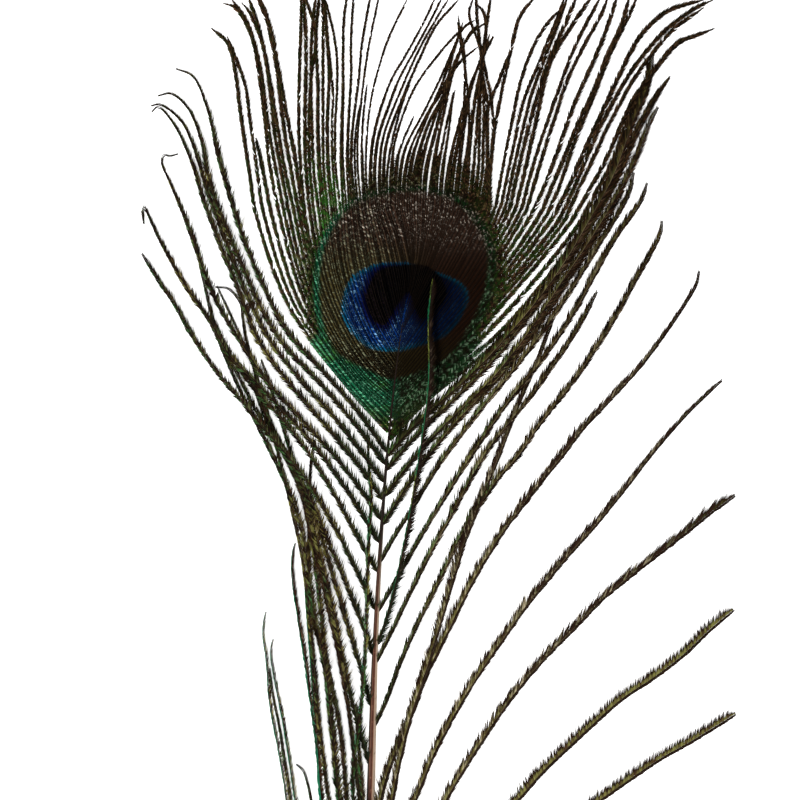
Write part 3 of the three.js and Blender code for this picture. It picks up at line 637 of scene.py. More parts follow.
@dataclass(frozen=True)
class Blades:
    """How the barbules of the eye lie, in mm, degrees and shares."""

    colour_at: float = 0.25  # they take the colours of the place this far off their barb
    thinning: Span = (62.0, 80.0)  # stations between which the web thins out
    thin_gaps: float = 0.025  # share of barbules missing where it has
    sweep_jitter: float = 3.0
    bridged: float = 0.92  # how far they reach in the room to the next barb
    bridged_loss: float = 0.32  # and how much less where barbs come free
    reach: Span = (0.5, 2.6)  # least and greatest length in the web
    web_spread: Span = (0.88, 1.08)  # random share of the length in the web
    free_spread: Span = (0.7, 1.15)  # and of that on the free ends
    droop: float = 28.0  # degrees that they hang from the barb, which makes each barb a ridge
    free_droop: float = 8.0
    calm: float = 4.0  # random degrees of their tilt
    ruffle: float = 9.0  # what comes on top where the web is ruffled
    ruffled: Span = (56.0, 70.0)  # stations between which it gets so
    width: float = 0.9  # half of it, in pitches
    width_loss: float = 0.2
    ridge: float = 0.03
    sink: float = 0.02  # start below the barb's middle line
    widest: float = 0.3  # place of the widest part
    browned: Span = (76.0, 90.0)  # stations between which the green ends
    free_green: float = 0.5  # how much less green the free ends are
    fringe_green: float = 0.1  # what the fringe's own greenness adds there


COMB, BLADES = Comb(), Blades()


class Strand:
    """The middle line of one barb, from its root in the shaft to its tip."""

    def __init__(self, plan: np.ndarray, root: float, lift: float,
                 tip: float = TIP_HEIGHT) -> None:
        """Raises a plan line to the height that a barb has.

        Args:
            plan: The line in plan, N by 2.
            root: Station of the root on the shaft.
            lift: Extra height of the middle, for barbs that lie over others.
            tip: Height of the tip.
        """
        flat = resample(plan, max(int(arc_lengths(plan)[-1] / LINE_STEP), LINE_LEAST))
        share = np.linspace(0, 1, len(flat))
        start = read_off(SHAFT_WIDTHS, root) * SHAFT_DEPTH_SHARE * ROOT_HEIGHT_SHARE
        arch = (BARB_ARCH + lift) * np.sin(np.pi * share**ARCH_SKEW)
        height = start * (1 - share) + tip * share + arch
        self.line = np.column_stack([flat, height])
        self.arc = arc_lengths(self.line)
        self.length = float(self.arc[-1])

    def at(self, reach: np.ndarray) -> tuple[np.ndarray, ...]:
        """The line and its directions at distances from the root.

        Args:
            reach: Distances along the barb.

        Returns:
            Places, and unit vectors along, to the right and up.
        """
        def place(distance: np.ndarray) -> np.ndarray:
            """Places on the line at the distances."""
            read = [np.interp(distance, self.arc, self.line[:, k]) for k in range(3)]
            return np.stack(read, axis=1)

        ahead = np.minimum(reach + AIM_REACH, self.length)
        along = unit(place(ahead) - place(np.maximum(reach - AIM_REACH, 0)))
        across = unit(np.cross(along, UP))
        return place(reach), along, across, np.cross(across, along)


class BarbMesh:
    """Gathers many barbs and writes them as one mesh of triangles."""

    RAMUS, BARBULE = 0, 1
    LAYERS = ("grain", "zone", "hue")
    ROWS = ("points", "faces", "kinds", *LAYERS)

    def __init__(self, seed: int) -> None:
        """Starts empty.

        Args:
            seed: Start of the random numbers of this mesh.
        """
        self.random = np.random.default_rng(seed)
        self.count = 0
        self.rows: dict[str, list[np.ndarray]] = {key: [] for key in self.ROWS}

    def add(self, points: np.ndarray, faces: np.ndarray, kind: int, grain: np.ndarray,
            zone: np.ndarray, hue: np.ndarray) -> None:
        """Adds vertices and the triangles between them.

        Args:
            points: N by 3 vertices.
            faces: M by 3 indices into points.
            kind: RAMUS or BARBULE.
            grain: N by 3, random tone, share along the barb, and share along the barbule or
                place across the ramus from -1 left to 1 right.
            zone: N by 3, signed distances from the heart, the blue and the disc.
            hue: N by 3, greenness, paleness (painted highlight, or painted shade in the eye) and
                side.
        """
        given = (points, faces + self.count, np.full(len(faces), kind), grain, zone, hue)
        for key, rows in zip(self.ROWS, given):
            self.rows[key].append(rows)
        self.count += len(points)

    def add_rod(self, corners: np.ndarray, kind: int, tone: float, share: np.ndarray,
                across: Iterable[float], zone: np.ndarray, shading: Iterable[float]) -> None:
        """Adds a closed rod of four-cornered rings.

        Args:
            corners: Rings by 4 by 3 vertices.
            kind: RAMUS or BARBULE.
            tone: Its random tone.
            share: Share along the barb of each ring.
            across: Place across the ramus, or along the barbule, of a ring's four corners.
            zone: Signed distances of each ring.
            shading: Greenness, paleness and side.
        """
        rings = len(corners)
        grain = np.stack([
            np.full((rings, 4), tone), np.repeat(share[:, None], 4, 1),
            np.repeat([tuple(across)], rings, 0),
        ], axis=2).reshape(-1, 3)
        self.add(corners.reshape(-1, 3), tube_faces(rings), kind, grain,
                 np.repeat(zone, 4, 0), np.tile(tuple(shading), (rings * 4, 1)))

    def add_ramus(self, strand: Strand, style: BarbStyle, zoned: bool, side: float) -> None:
        """Adds the barb's own thin shaft, a four-sided rod with closed ends.

        Args:
            strand: The barb's middle line.
            style: Its sizes.
            zoned: Whether it lies in the eye and takes its colours.
            side: -1 left of the feather's shaft, 1 right of it.
        """
        rings = max(int(strand.length / RAMUS_STEP), RAMUS_RINGS)
        share = np.linspace(0, 1, rings)
        place, _, across, up = strand.at(share * strand.length)
        slim = (1 - (1 - style.ramus_end) * share**RAMUS_TAPER)[:, None]
        wide, deep = across * slim * style.ramus[0] / 2, up * slim * style.ramus[1] / 2
        corners = np.stack([place - wide, place + deep, place + wide, place - deep], axis=1)
        zone = zones_of(place[:, :2]) if zoned else np.full((rings, 3), FAR_AWAY)
        self.add_rod(corners, self.RAMUS, self.random.random(), share, (-1.0, 0.0, 1.0, 0.0), zone,
                     (style.left.green, style.pale, side))

    def add_hairs(self, strand: Strand, style: BarbStyle, side: float) -> None:
        """Adds the ridged spikes on both sides of a free barb.

        Args:
            strand: The barb's middle line.
            style: Its sizes.
            side: -1 left of the feather's shaft, 1 right of it.
        """
        for hand in (-1, 1):
            fringe = style.fringe(hand)
            reach = self.stations(strand, style)
            share = reach / strand.length
            place, along, across, up = strand.at(reach)
            count = len(reach)
            smooth = smoothstep(*COMB.closes, share) * (style.closing > 0)
            root_smooth = style.root_closing * (1 - smoothstep(*COMB.root_opens, share))
            smooth = np.maximum(smooth, root_smooth)
            ragged = style.ragged * (1 - COMB.calm * smooth)
            clump = self.clumps(reach, COMB.clump) - 0.5
            own = self.random.uniform(-COMB.own_stature, COMB.own_stature, count)
            stature = COMB.stature + COMB.clump_stature * ragged * clump + own
            order = np.arange(count) + self.random.integers(COMB.starts)
            tooth = order % fringe.teeth < fringe.teeth // 3
            between = fringe.stubble + (COMB.stubble - fringe.stubble) * smooth
            stature = stature * np.where(tooth, 1.0, between)
            length = fringe.length * fade(share, style) * stature
            lean = COMB.clump_lean * ragged * clump + self.random.normal(0, COMB.own_lean, count)
            closed = 1 - COMB.closing * style.closing * smooth
            sweep = np.radians(fringe.sweep * closed + lean)
            tilt = np.radians(self.random.uniform(*fringe.tilt, count))

            def heading(angle: np.ndarray) -> np.ndarray:
                """Direction at an angle from the barb, raised by the tilt."""
                flat = along * np.cos(angle)[:, None] + hand * across * np.sin(angle)[:, None]
                return flat * np.cos(tilt)[:, None] + up * np.sin(tilt)[:, None]

            roots = place + hand * across * (COMB.outset * style.ramus[0]) - up * COMB.sink
            first, second = heading(sweep), heading(sweep - math.radians(fringe.bend))
            normal = unit(hand * np.cross(first, along))
            wide = np.cross(normal, first)
            width = fringe.base * np.clip(length / fringe.length, COMB.least_width, 1)
            half = (width * np.where(tooth, COMB.tooth_width, 1.0))[:, None]
            near = roots + first * (COMB.ridge_at * length)[:, None] + normal * half * COMB.ridge
            tip = roots + (first + second) * (length / 2)[:, None]
            corners = np.stack([roots - wide * half, roots + wide * half, near, tip], axis=1)
            by_clump, by_own, by_tooth = COMB.tones
            tone = by_clump * self.clumps(reach, COMB.tone_clump)
            tone = tone + by_own * self.random.random(count) + by_tooth * tooth
            self.add_copies(corners, HAIR_FACES, (0, 0, COMB.ridge_at, 1), share, tone,
                            np.full((count, 3), FAR_AWAY), np.full(count, fringe.green),
                            fringe.pale, side)

    def add_blades(self, strand: Strand, style: BarbStyle, side: float,
                   rooms: dict[int, np.ndarray], web: float, green: float,
                   breadth: float) -> None:
        """Adds the leaf-shaped barbules of a barb in the web and of its free end.

        Args:
            strand: The barb's middle line.
            style: Sizes of the free end.
            side: -1 left of the feather's shaft, 1 right of it.
            rooms: Distance to the next barb on each hand, at even shares up to web.
            web: Share of the barb that rooms tells of.
            green: Greenness of this barb where it lies outside the disc.
            breadth: Half the width of the free end.
        """
        for hand in (-1, 1):
            fringe = style.fringe(hand)
            reach = self.stations(strand, style)
            share = reach / strand.length
            place, along, across, up = strand.at(reach)
            zone = zones_of(place[:, :2] + hand * BLADES.colour_at * across[:, :2])
            herl = freedom(place, zone[:, 2])
            spread = room_at(share, rooms[hand], web)
            sparse = smoothstep(*BLADES.thinning, place[:, 1]) * (1 - herl)
            notch = self.notched(reach, style.notches) & (herl > 0.5)
            missing = WEB_GAPS + BLADES.thin_gaps * sparse
            keep = (self.random.random(len(reach)) > missing) & ~notch
            share, zone, herl, spread = (v[keep] for v in (share, zone, herl, spread))
            place, along, across, up = (v[keep] for v in (place, along, across, up))
            knit, count = 1 - herl, len(share)
            angle = WEB_SWEEP * knit + fringe.sweep * herl
            angle = angle + self.random.normal(0, BLADES.sweep_jitter, count)
            bridged = spread * (BLADES.bridged - BLADES.bridged_loss * herl)
            in_web = np.clip(bridged / math.sin(math.radians(WEB_SWEEP)), *BLADES.reach)
            free = breadth / math.sin(math.radians(fringe.sweep))
            free = free * self.random.uniform(*BLADES.free_spread, count)
            in_web = in_web * self.random.uniform(*BLADES.web_spread, count)
            full = ((in_web * knit + free * herl) * fade(share, style))[:, None]
            jitter = BLADES.calm + BLADES.ruffle * smoothstep(*BLADES.ruffled, place[:, 1]) * knit
            tilt = -BLADES.droop * knit - BLADES.free_droop * herl
            tilt = tilt + self.random.normal(0, 1, count) * jitter
            angle, tilt = np.radians(angle)[:, None], np.radians(tilt)[:, None]
            flat = along * np.cos(angle) + hand * across * np.sin(angle)
            out = flat * np.cos(tilt) + up * np.sin(tilt)
            normal = unit(hand * np.cross(out, along))
            half = (style.pitch * (BLADES.width - BLADES.width_loss * herl))[:, None]
            wide, ridge = np.cross(normal, out) * half, normal * BLADES.ridge
            roots = place - up * BLADES.sink - out * BLADE_OVERLAP
            middle = roots + out * (BLADE_OVERLAP + full * BLADES.widest)
            tip = roots + out * (full + BLADE_OVERLAP)
            corners = np.stack([roots, middle - wide - ridge, middle + wide - ridge, tip], axis=1)
            low = 1 - smoothstep(*BLADES.browned, place[:, 1])
            greens = green * low * (1 - BLADES.free_green * herl)
            greens = greens + BLADES.fringe_green * fringe.green * herl
            self.add_copies(corners, BLADE_FACES, (0, 0.5, 0.5, 1), share,
                            self.random.random(count), zone, greens, SHADES[side, hand], side)

    def add_plate(self, strand: Strand, side: float, rooms: dict[int, np.ndarray], web: float,
                  green: float) -> None:
        """Adds the thin roof-shaped plate that the barbules' bases make along a barb in the web.

        Args:
            strand: The barb's middle line.
            side: -1 left of the feather's shaft, 1 right of it.
            rooms: Distance to the next barb on each hand, at even shares up to web.
            web: Share of the barb that rooms tells of.
            green: Greenness of this barb where it lies outside the disc.
        """
        reach = np.linspace(0, strand.length, max(int(strand.length / PLATE_STEP), PLATE_RINGS))
        place = strand.at(reach)[0]
        free = freedom(place, zones_of(place[:, :2])[:, 2])
        reach = reach[: int(np.max(np.nonzero(free < PLATE_FREE), initial=5)) + 2]
        place, _, across, up = strand.at(reach)
        zone = zones_of(place[:, :2])
        knit = 1 - freedom(place, zone[:, 2])
        share = reach / strand.length
        at_root = PLATE_AT_ROOT[0] * (1 - smoothstep(0, PLATE_AT_ROOT[1], reach))
        below = place - up * PLATE_SINK
        edges = []
        for hand in (-1, 1):
            room = PLATE_SHARE * room_at(share, rooms[hand], web)
            if hand == -side:
                room = np.maximum(room, at_root)
            width = (np.minimum(room, PLATE_WIDEST) * knit + PLATE_EDGE)[:, None]
            edges.append(below + hand * across * width - up * width * PLATE_DROP)
        corners = np.stack([edges[0], below, edges[1], below - up * PLATE_THICK], axis=1)
        self.add_rod(corners, self.BARBULE, PLATE_TONE, share, (1.0, 0.0, 1.0, 0.0), zone,
                     (green, 0.0, side))

    def add_copies(self, corners: np.ndarray, faces: np.ndarray, outward: Iterable[float],
                   share: np.ndarray, tone: np.ndarray, zone: np.ndarray, green: np.ndarray,
                   pale: float, side: float) -> None:
        """Adds one small closed shape for each barbule.

        Args:
            corners: Barbules by vertices by 3.
            faces: Triangles of one barbule.
            outward: Share along the barbule of each of its vertices.
            share: Share along the barb of each barbule.
            tone: Random tone of each barbule.
            zone: Signed distances of each barbule.
            green: Greenness of each barbule.
            pale: Paleness of the barb as painted highlight, or painted shade in the eye.
            side: -1 left of the feather's shaft, 1 right of it.
        """
        count, each = corners.shape[:2]
        grain = np.stack([
            np.repeat(tone[:, None], each, 1), np.repeat(share[:, None], each, 1),
            np.repeat(np.array(tuple(outward))[None], count, 0),
        ], axis=2)
        zones = np.repeat(zone[:, None], each, 1)
        hue = np.column_stack([green, np.full(count, pale), np.full(count, side)])
        hues = np.repeat(hue[:, None], each, 1)
        triangles = (np.arange(count)[:, None, None] * each + faces[None]).reshape(-1, 3)
        self.add(corners.reshape(-1, 3), triangles, self.BARBULE,
                 grain.reshape(-1, 3), zones.reshape(-1, 3), hues.reshape(-1, 3))

    def stations(self, strand: Strand, style: BarbStyle) -> np.ndarray:
        """Jittered distances of the barbules along one side."""
        count = int(strand.length / style.pitch)
        even = (np.arange(count) + 0.5) * style.pitch
        jitter = self.random.normal(0, STATION_JITTER * style.pitch, count)
        return np.clip(even + jitter, 0, strand.length - STATION_END)

    def clumps(self, reach: np.ndarray, size: float) -> np.ndarray:
        """Random shares that neighbours have in common, with changes over size in mm."""
        knots = self.random.random(int(reach.max() / size) + 3)
        return np.interp(reach / size, np.arange(len(knots)), knots)

    def notched(self, reach: np.ndarray, share: float) -> np.ndarray:
        """Whether each distance falls in one of the gaps that are bitten into a barb's edge."""
        cells = (reach / NOTCH_SIZE).astype(int)
        open_cells = self.random.random(cells.max() + 1 if len(cells) else 1) < share
        return open_cells[cells]

    def write(self, name: str, materials: list[Material]) -> bpy.types.Object:
        """Makes the object with its attributes and its plan map.

        Args:
            name: Name of the piece.
            materials: The finish of the rami and that of the barbules.

        Returns:
            The new object.
        """
        rows = {key: np.concatenate(parts) for key, parts in self.rows.items()}
        low, high = (np.array(corner, float) / MM for corner in SOLID_BOX)
        points = np.clip(rows["points"], [*low[:2], LOWEST], high)
        faces = rows["faces"].astype(np.int32)
        mesh = bpy.data.meshes.new(name)
        mesh.vertices.add(len(points))
        mesh.vertices.foreach_set("co", (points * MM).astype(np.float32).ravel())
        mesh.loops.add(faces.size)
        mesh.loops.foreach_set("vertex_index", faces.ravel())
        mesh.polygons.add(len(faces))
        mesh.polygons.foreach_set("loop_start", np.arange(0, faces.size, 3, dtype=np.int32))
        mesh.polygons.foreach_set("material_index", rows["kinds"].astype(np.int32))
        for label in self.LAYERS:
            add_layer(mesh, label, rows[label])
        plan_map(mesh, points[faces.ravel(), :2])
        for material in materials:
            mesh.materials.append(material)
        mesh.update(calc_edges=True)
        mesh.polygons.foreach_set("use_smooth", np.zeros(len(faces), bool))
        return add_object(name, mesh)


# Painted shade: how dark the barbules are painted on each side of the feather's shaft and each
# hand of their barb, darker on the hand that faces away from a light at the lower left
SHADES = {(-1, -1): 0.0, (-1, 1): 0.62, (1, -1): 0.1, (1, 1): 0.4}
BLADE_FACES = np.array([[0, 3, 2], [0, 1, 3], [0, 2, 1], [3, 1, 2]])
HAIR_FACES = np.array([[0, 1, 3], [1, 2, 3], [2, 0, 3], [0, 2, 1]])


def tube_faces(rings: int) -> np.ndarray:
    """Triangles of a closed rod of four-cornered rings."""
    ring, turn = np.meshgrid(np.arange(rings - 1), np.arange(4), indexing="ij")
    a, b = ring * 4 + turn, ring * 4 + (turn + 1) % 4
    sides = np.stack([np.stack([a, b, a + 4], -1), np.stack([b, b + 4, a + 4], -1)], 2)
    last = (rings - 1) * 4
    ends = np.array([[0, 2, 1], [0, 3, 2], [last, last + 1, last + 2], [last, last + 2, last + 3]])
    return np.vstack([sides.reshape(-1, 3), ends])


def room_at(share: np.ndarray, rooms: np.ndarray, web: float) -> np.ndarray:
    """Room to the next barb at shares of the length, from samples at even shares up to web."""
    return np.interp(share, np.linspace(0, web, len(rooms)), rooms)


def freedom(places: np.ndarray, disc: np.ndarray) -> np.ndarray:
    """How far barbs are free of their neighbours, from 0 in the web to 1 in the fringe.

    Args:
        places: N places, of which X and Y are read.
        disc: Their signed distances from the disc's edge.

    Returns:
        N shares.
    """
    turn = np.degrees(np.arctan2(places[:, 1] - DISC_MIDDLE[1], places[:, 0] - DISC_MIDDLE[0]))
    return smoothstep(0, KNIT_FADE, disc - read_off(KNIT_REACH, turn))


def zones_of(places: np.ndarray) -> np.ndarray:
    """Signed distances from the heart's, the blue's and the disc's edge."""
    return np.column_stack([mark.distance(places) for mark in (HEART, BLUE, DISC)])


def fade(share: np.ndarray, style: BarbStyle) -> np.ndarray:
    """How long barbules are along a barb, as a share of their full length."""
    grown = smoothstep(-ROOT_LEAD, style.root_fade, share)
    from_root = style.root_share + (1 - style.root_share) * grown
    blunt = BLUNT_END + BLUNT_GAIN * smoothstep(0, BLUNT_STRETCH, 1 - share)
    tapering = smoothstep(0, style.tip_fade, 1 - share)
    tapered = TAPERED + (1 - TAPERED) * style.fine_tip
    return from_root * (blunt * (1 - style.fine_tip) + tapered * tapering)


def add_object(name: str, data: bpy.types.ID) -> bpy.types.Object:
    """Adds an object with this mesh, light or camera to the scene."""
    thing = bpy.data.objects.new(name, data)
    bpy.context.scene.collection.objects.link(thing)
    return thing


def add_layer(mesh: bpy.types.Mesh, label: str, vectors: np.ndarray) -> None:
    """Keeps a vector for each vertex, which the finishes read by the label."""
    layer = mesh.attributes.new(label, "FLOAT_VECTOR", "POINT")
    layer.data.foreach_set("vector", vectors.astype(np.float32).ravel())


def plan_map(mesh: bpy.types.Mesh, corners: np.ndarray) -> None:
    """Gives a mesh a map that is its own plan, scaled to fit the unit square.

    Args:
        mesh: The mesh.
        corners: Place in plan of each face corner.
    """
    low, high = corners.min(0), corners.max(0)
    flat = MAP_MARGIN + (1 - 2 * MAP_MARGIN) * (corners - low) / (high - low).max()
    layer = mesh.uv_layers.new(name="OFBake")
    layer.uv.foreach_set("vector", flat.astype(np.float32).ravel())


def add_node(tree: bpy.types.NodeTree, kind: str, settings: dict | None = None,
             links: dict | None = None, **traits: Any) -> bpy.types.Node:
    """Adds a node with its settings and links.

    Args:
        tree: The node tree.
        kind: Blender's name of the node type.
        settings: Values by input socket.
        links: Output sockets to join, by input socket.
        traits: Properties of the node itself.

    Returns:
        The new node.
    """
    node = tree.nodes.new(kind)
    for trait, value in traits.items():
        setattr(node, trait, value)
    for socket, value in (settings or {}).items():
        node.inputs[socket].default_value = value
    for socket, source in (links or {}).items():
        tree.links.new(source, node.inputs[socket])
    return node


class Recipe:
    """A material's node tree with the steps that colours are mixed by."""

    NOISE_DETAIL = 2.0
    MIX_FACTOR, MIX_A, MIX_B, MIX_OUT = 0, 6, 7, 2

    def __init__(self, name: str) -> None:
        """Starts a material with an empty tree.

        Args:
            name: Name of the material.
        """
        self.material = bpy.data.materials.new(name)
        self.material.use_nodes = True
        self.tree = self.material.node_tree
        self.tree.nodes.clear()

    def node(self, kind: str, settings: dict | None = None, links: dict | None = None,
             **traits: Any) -> bpy.types.Node:
        """Adds a node to this material's tree."""
        return add_node(self.tree, kind, settings, links, **traits)

    def parts(self, attribute: str) -> list[Socket]:
        """The three numbers of a vector attribute."""
        read = self.node("ShaderNodeAttribute", attribute_name=attribute)
        return list(self.node("ShaderNodeSeparateXYZ", links={0: read.outputs["Vector"]}).outputs)

    def ramp(self, source: Socket, low: float, high: float, to_low: float = 0.0,
             to_high: float = 1.0) -> Socket:
        """Smooth change from to_low to to_high while the source goes from low to high."""
        return self.node(
            "ShaderNodeMapRange", {1: low, 2: high, 3: to_low, 4: to_high}, {0: source},
            interpolation_type="SMOOTHSTEP",
        ).outputs[0]

    def math(self, operation: str, first: Any, second: Any) -> Socket:
        """A sum on two sockets or numbers."""
        settings, links = {}, {}
        for socket, value in enumerate((first, second)):
            (links if isinstance(value, Socket) else settings)[socket] = value
        return self.node("ShaderNodeMath", settings, links, operation=operation).outputs[0]

    def times(self, first: Any, *others: Any) -> Socket:
        """The product of sockets and numbers."""
        for other in others:
            first = self.math("MULTIPLY", first, other)
        return first

    def noise(self, size_mm: float) -> Socket:
        """Noise with features of about size_mm on the object's own coordinates."""
        place = self.node("ShaderNodeTexCoord").outputs["Object"]
        settings = {"Scale": 1 / (size_mm * MM), "Detail": self.NOISE_DETAIL}
        return self.node("ShaderNodeTexNoise", settings, {"Vector": place}).outputs[0]

    def mix(self, factor: Any, first: Any, second: Any) -> Socket:
        """Colour between first and second, each a hex colour or a socket."""
        settings, links = {}, {}
        given = ((self.MIX_FACTOR, factor), (self.MIX_A, first), (self.MIX_B, second))
        for socket, value in given:
            if isinstance(value, Socket):
                links[socket] = value
            else:
                settings[socket] = linear(value) if isinstance(value, str) else value
        node = self.node("ShaderNodeMix", settings, links, data_type="RGBA")
        return node.outputs[self.MIX_OUT]

    def finish(self, colour: Socket, settings: dict) -> Material:
        """Ends the tree in a shader with this base colour and these settings."""
        shader = self.node("ShaderNodeBsdfPrincipled", settings, {"Base Color": colour})
        self.node("ShaderNodeOutputMaterial", links={"Surface": shader.outputs[0]})
        return self.material


@dataclass(frozen=True)
class HerlFinish:
    """Keratin barbules of free barbs: brown-black with an olive, leaf and teal lustre, partly
    their own colour and partly painted sheen, and pale painted highlights.
    """

    name: str = "herl_barbule_keratin"
    brown: str = "#120b05"
    umber: str = "#482d1b"
    bark: str = "#4a3420"
    olive: str = "#97984a"
    leaf: str = "#2f7a3a"
    teal: str = "#1c8a62"
    # colour of the painted highlights
    beige: str = "#c8b898"
    forest: str = "#10210f"
    shaded: float = 0.75  # how dark green a barb is near its root
    fading: float = 0.0  # how much less lustre the outer half of the barb has
    banded: float = 0.0  # how much the lustre keeps to the inner half of the barbules
    roughness: float = 0.6
    specular: float = 0.06
    patch: float = 14.0  # size in mm of the noise that parts olive from leaf
    speck: float = 1.6  # and of that which breaks up the lustre
    specks: float = 0.7  # how much of the latter comes on top of a barbule's random tone
    # Ranges of tone, noise, greenness, or share along the barb or barbule, for each step
    umber_tones: Span = (0.3, 0.8)
    leafy: Span = (0.42, 0.52)
    teal_from: Span = (0.7, 0.95)
    teal_to: Span = (1.2, 1.0)
    gleaming: Span = (0.85, 1.05)
    gleam_most: float = 1.2
    all_green: Span = (0.9, 1.0)
    all_green_most: float = 0.8
    all_green_tones: Span = (0.6, 1.0)
    inner_half: Span = (0.3, 0.6)
    outer_barb: Span = (0.35, 0.65)
    band_edge: Span = (0.42, 0.26)
    band_barb: Span = (0.6, 0.35)
    band_always: Span = (0.55, 0.65)
    band_green: Span = (0.2, 0.5)
    band_tones: Span = (0.45, 1.1)
    # tones, and shares along the barb, where the painted highlights lie
    highlight_tones: Span = (0.9, 1.25)
    highlight_to: Span = (0.97, 0.75)
    near_root: Span = (0.35, 0.05)

    def build(self) -> Material:
        """Makes the material."""
        r = Recipe(self.name)
        tone, along, outward = r.parts("grain")
        green, pale, _ = r.parts("hue")
        broad, fine = r.noise(self.patch), r.noise(self.speck)
        patchy = r.math("ADD", r.times(fine, self.specks), tone)
        # Brown-black to umber from barbule to barbule, under a lustre of olive, leaf and teal that
        # is partly their own colour and partly painted sheen on the greener edges that face the
        # light
        colour = r.mix(r.ramp(tone, *self.umber_tones), self.brown, self.umber)
        lustre = r.mix(r.ramp(broad, *self.leafy), self.olive, self.leaf)
        teal = r.times(r.ramp(green, *self.teal_from), r.ramp(green, *self.teal_to))
        lustre = r.mix(teal, lustre, self.teal)
        gleam = r.times(
            green, r.ramp(patchy, *self.gleaming, 0.0, self.gleam_most),
            r.ramp(outward, *self.inner_half, 1.0, 1 - self.banded),
            r.ramp(along, *self.outer_barb, 1.0, 1 - self.fading),
        )
        solid = r.times(
            r.ramp(green, *self.all_green, 0.0, self.all_green_most),
            r.ramp(r.math("ADD", broad, tone), *self.all_green_tones),
        )
        colour = r.mix(r.math("MAXIMUM", gleam, solid), colour, lustre)
        # A band of bark and olive where the barbules start, on barbs that have one
        where = r.math("MAXIMUM", r.ramp(along, *self.band_barb), r.ramp(green, *self.band_always))
        inner = r.times(
            r.ramp(outward, *self.band_edge, 0.0, self.banded),
            r.times(where, r.ramp(green, *self.band_green)),
        )
        band = r.mix(r.ramp(patchy, *self.band_tones), self.bark, self.olive)
        colour = r.mix(inner, colour, band)
        # Pale beige painted highlights on some barbules, and dark green barbules near the root
        highlit = r.times(pale, r.ramp(patchy, *self.highlight_tones), r.ramp(along, *self.highlight_to))
        colour = r.mix(highlit, colour, self.beige)
        colour = r.mix(r.ramp(along, *self.near_root, 0.0, self.shaded), colour, self.forest)
        settings = {"Roughness": self.roughness, "Specular IOR Level": self.specular}
        return r.finish(colour, settings)


class EyePlace:
    """Sockets that tell the eye's finish where a place lies: attributes, and X and Y in mm."""

    def __init__(self, r: Recipe) -> None:
        """Adds the nodes that read the place."""
        self.tone, _, self.outward = r.parts("grain")
        self.heart, self.blue, self.disc = r.parts("zone")
        self.green, self.shade, _ = r.parts("hue")
        place = r.node("ShaderNodeTexCoord").outputs["Object"]
        in_mm = r.node(
            "ShaderNodeVectorMath", {"Scale": 1 / MM}, {0: place}, operation="SCALE",
        ).outputs[0]
        self.x, self.y, _ = r.node("ShaderNodeSeparateXYZ", links={0: in_mm}).outputs
        # The left half, which carries the painted glints of a light from the lower left
        self.left = r.ramp(self.x, 6.0, -6.0)
        self.upper = r.ramp(self.y, 54.0, 68.0)
        self.lower = r.ramp(self.y, 44.0, 34.0)


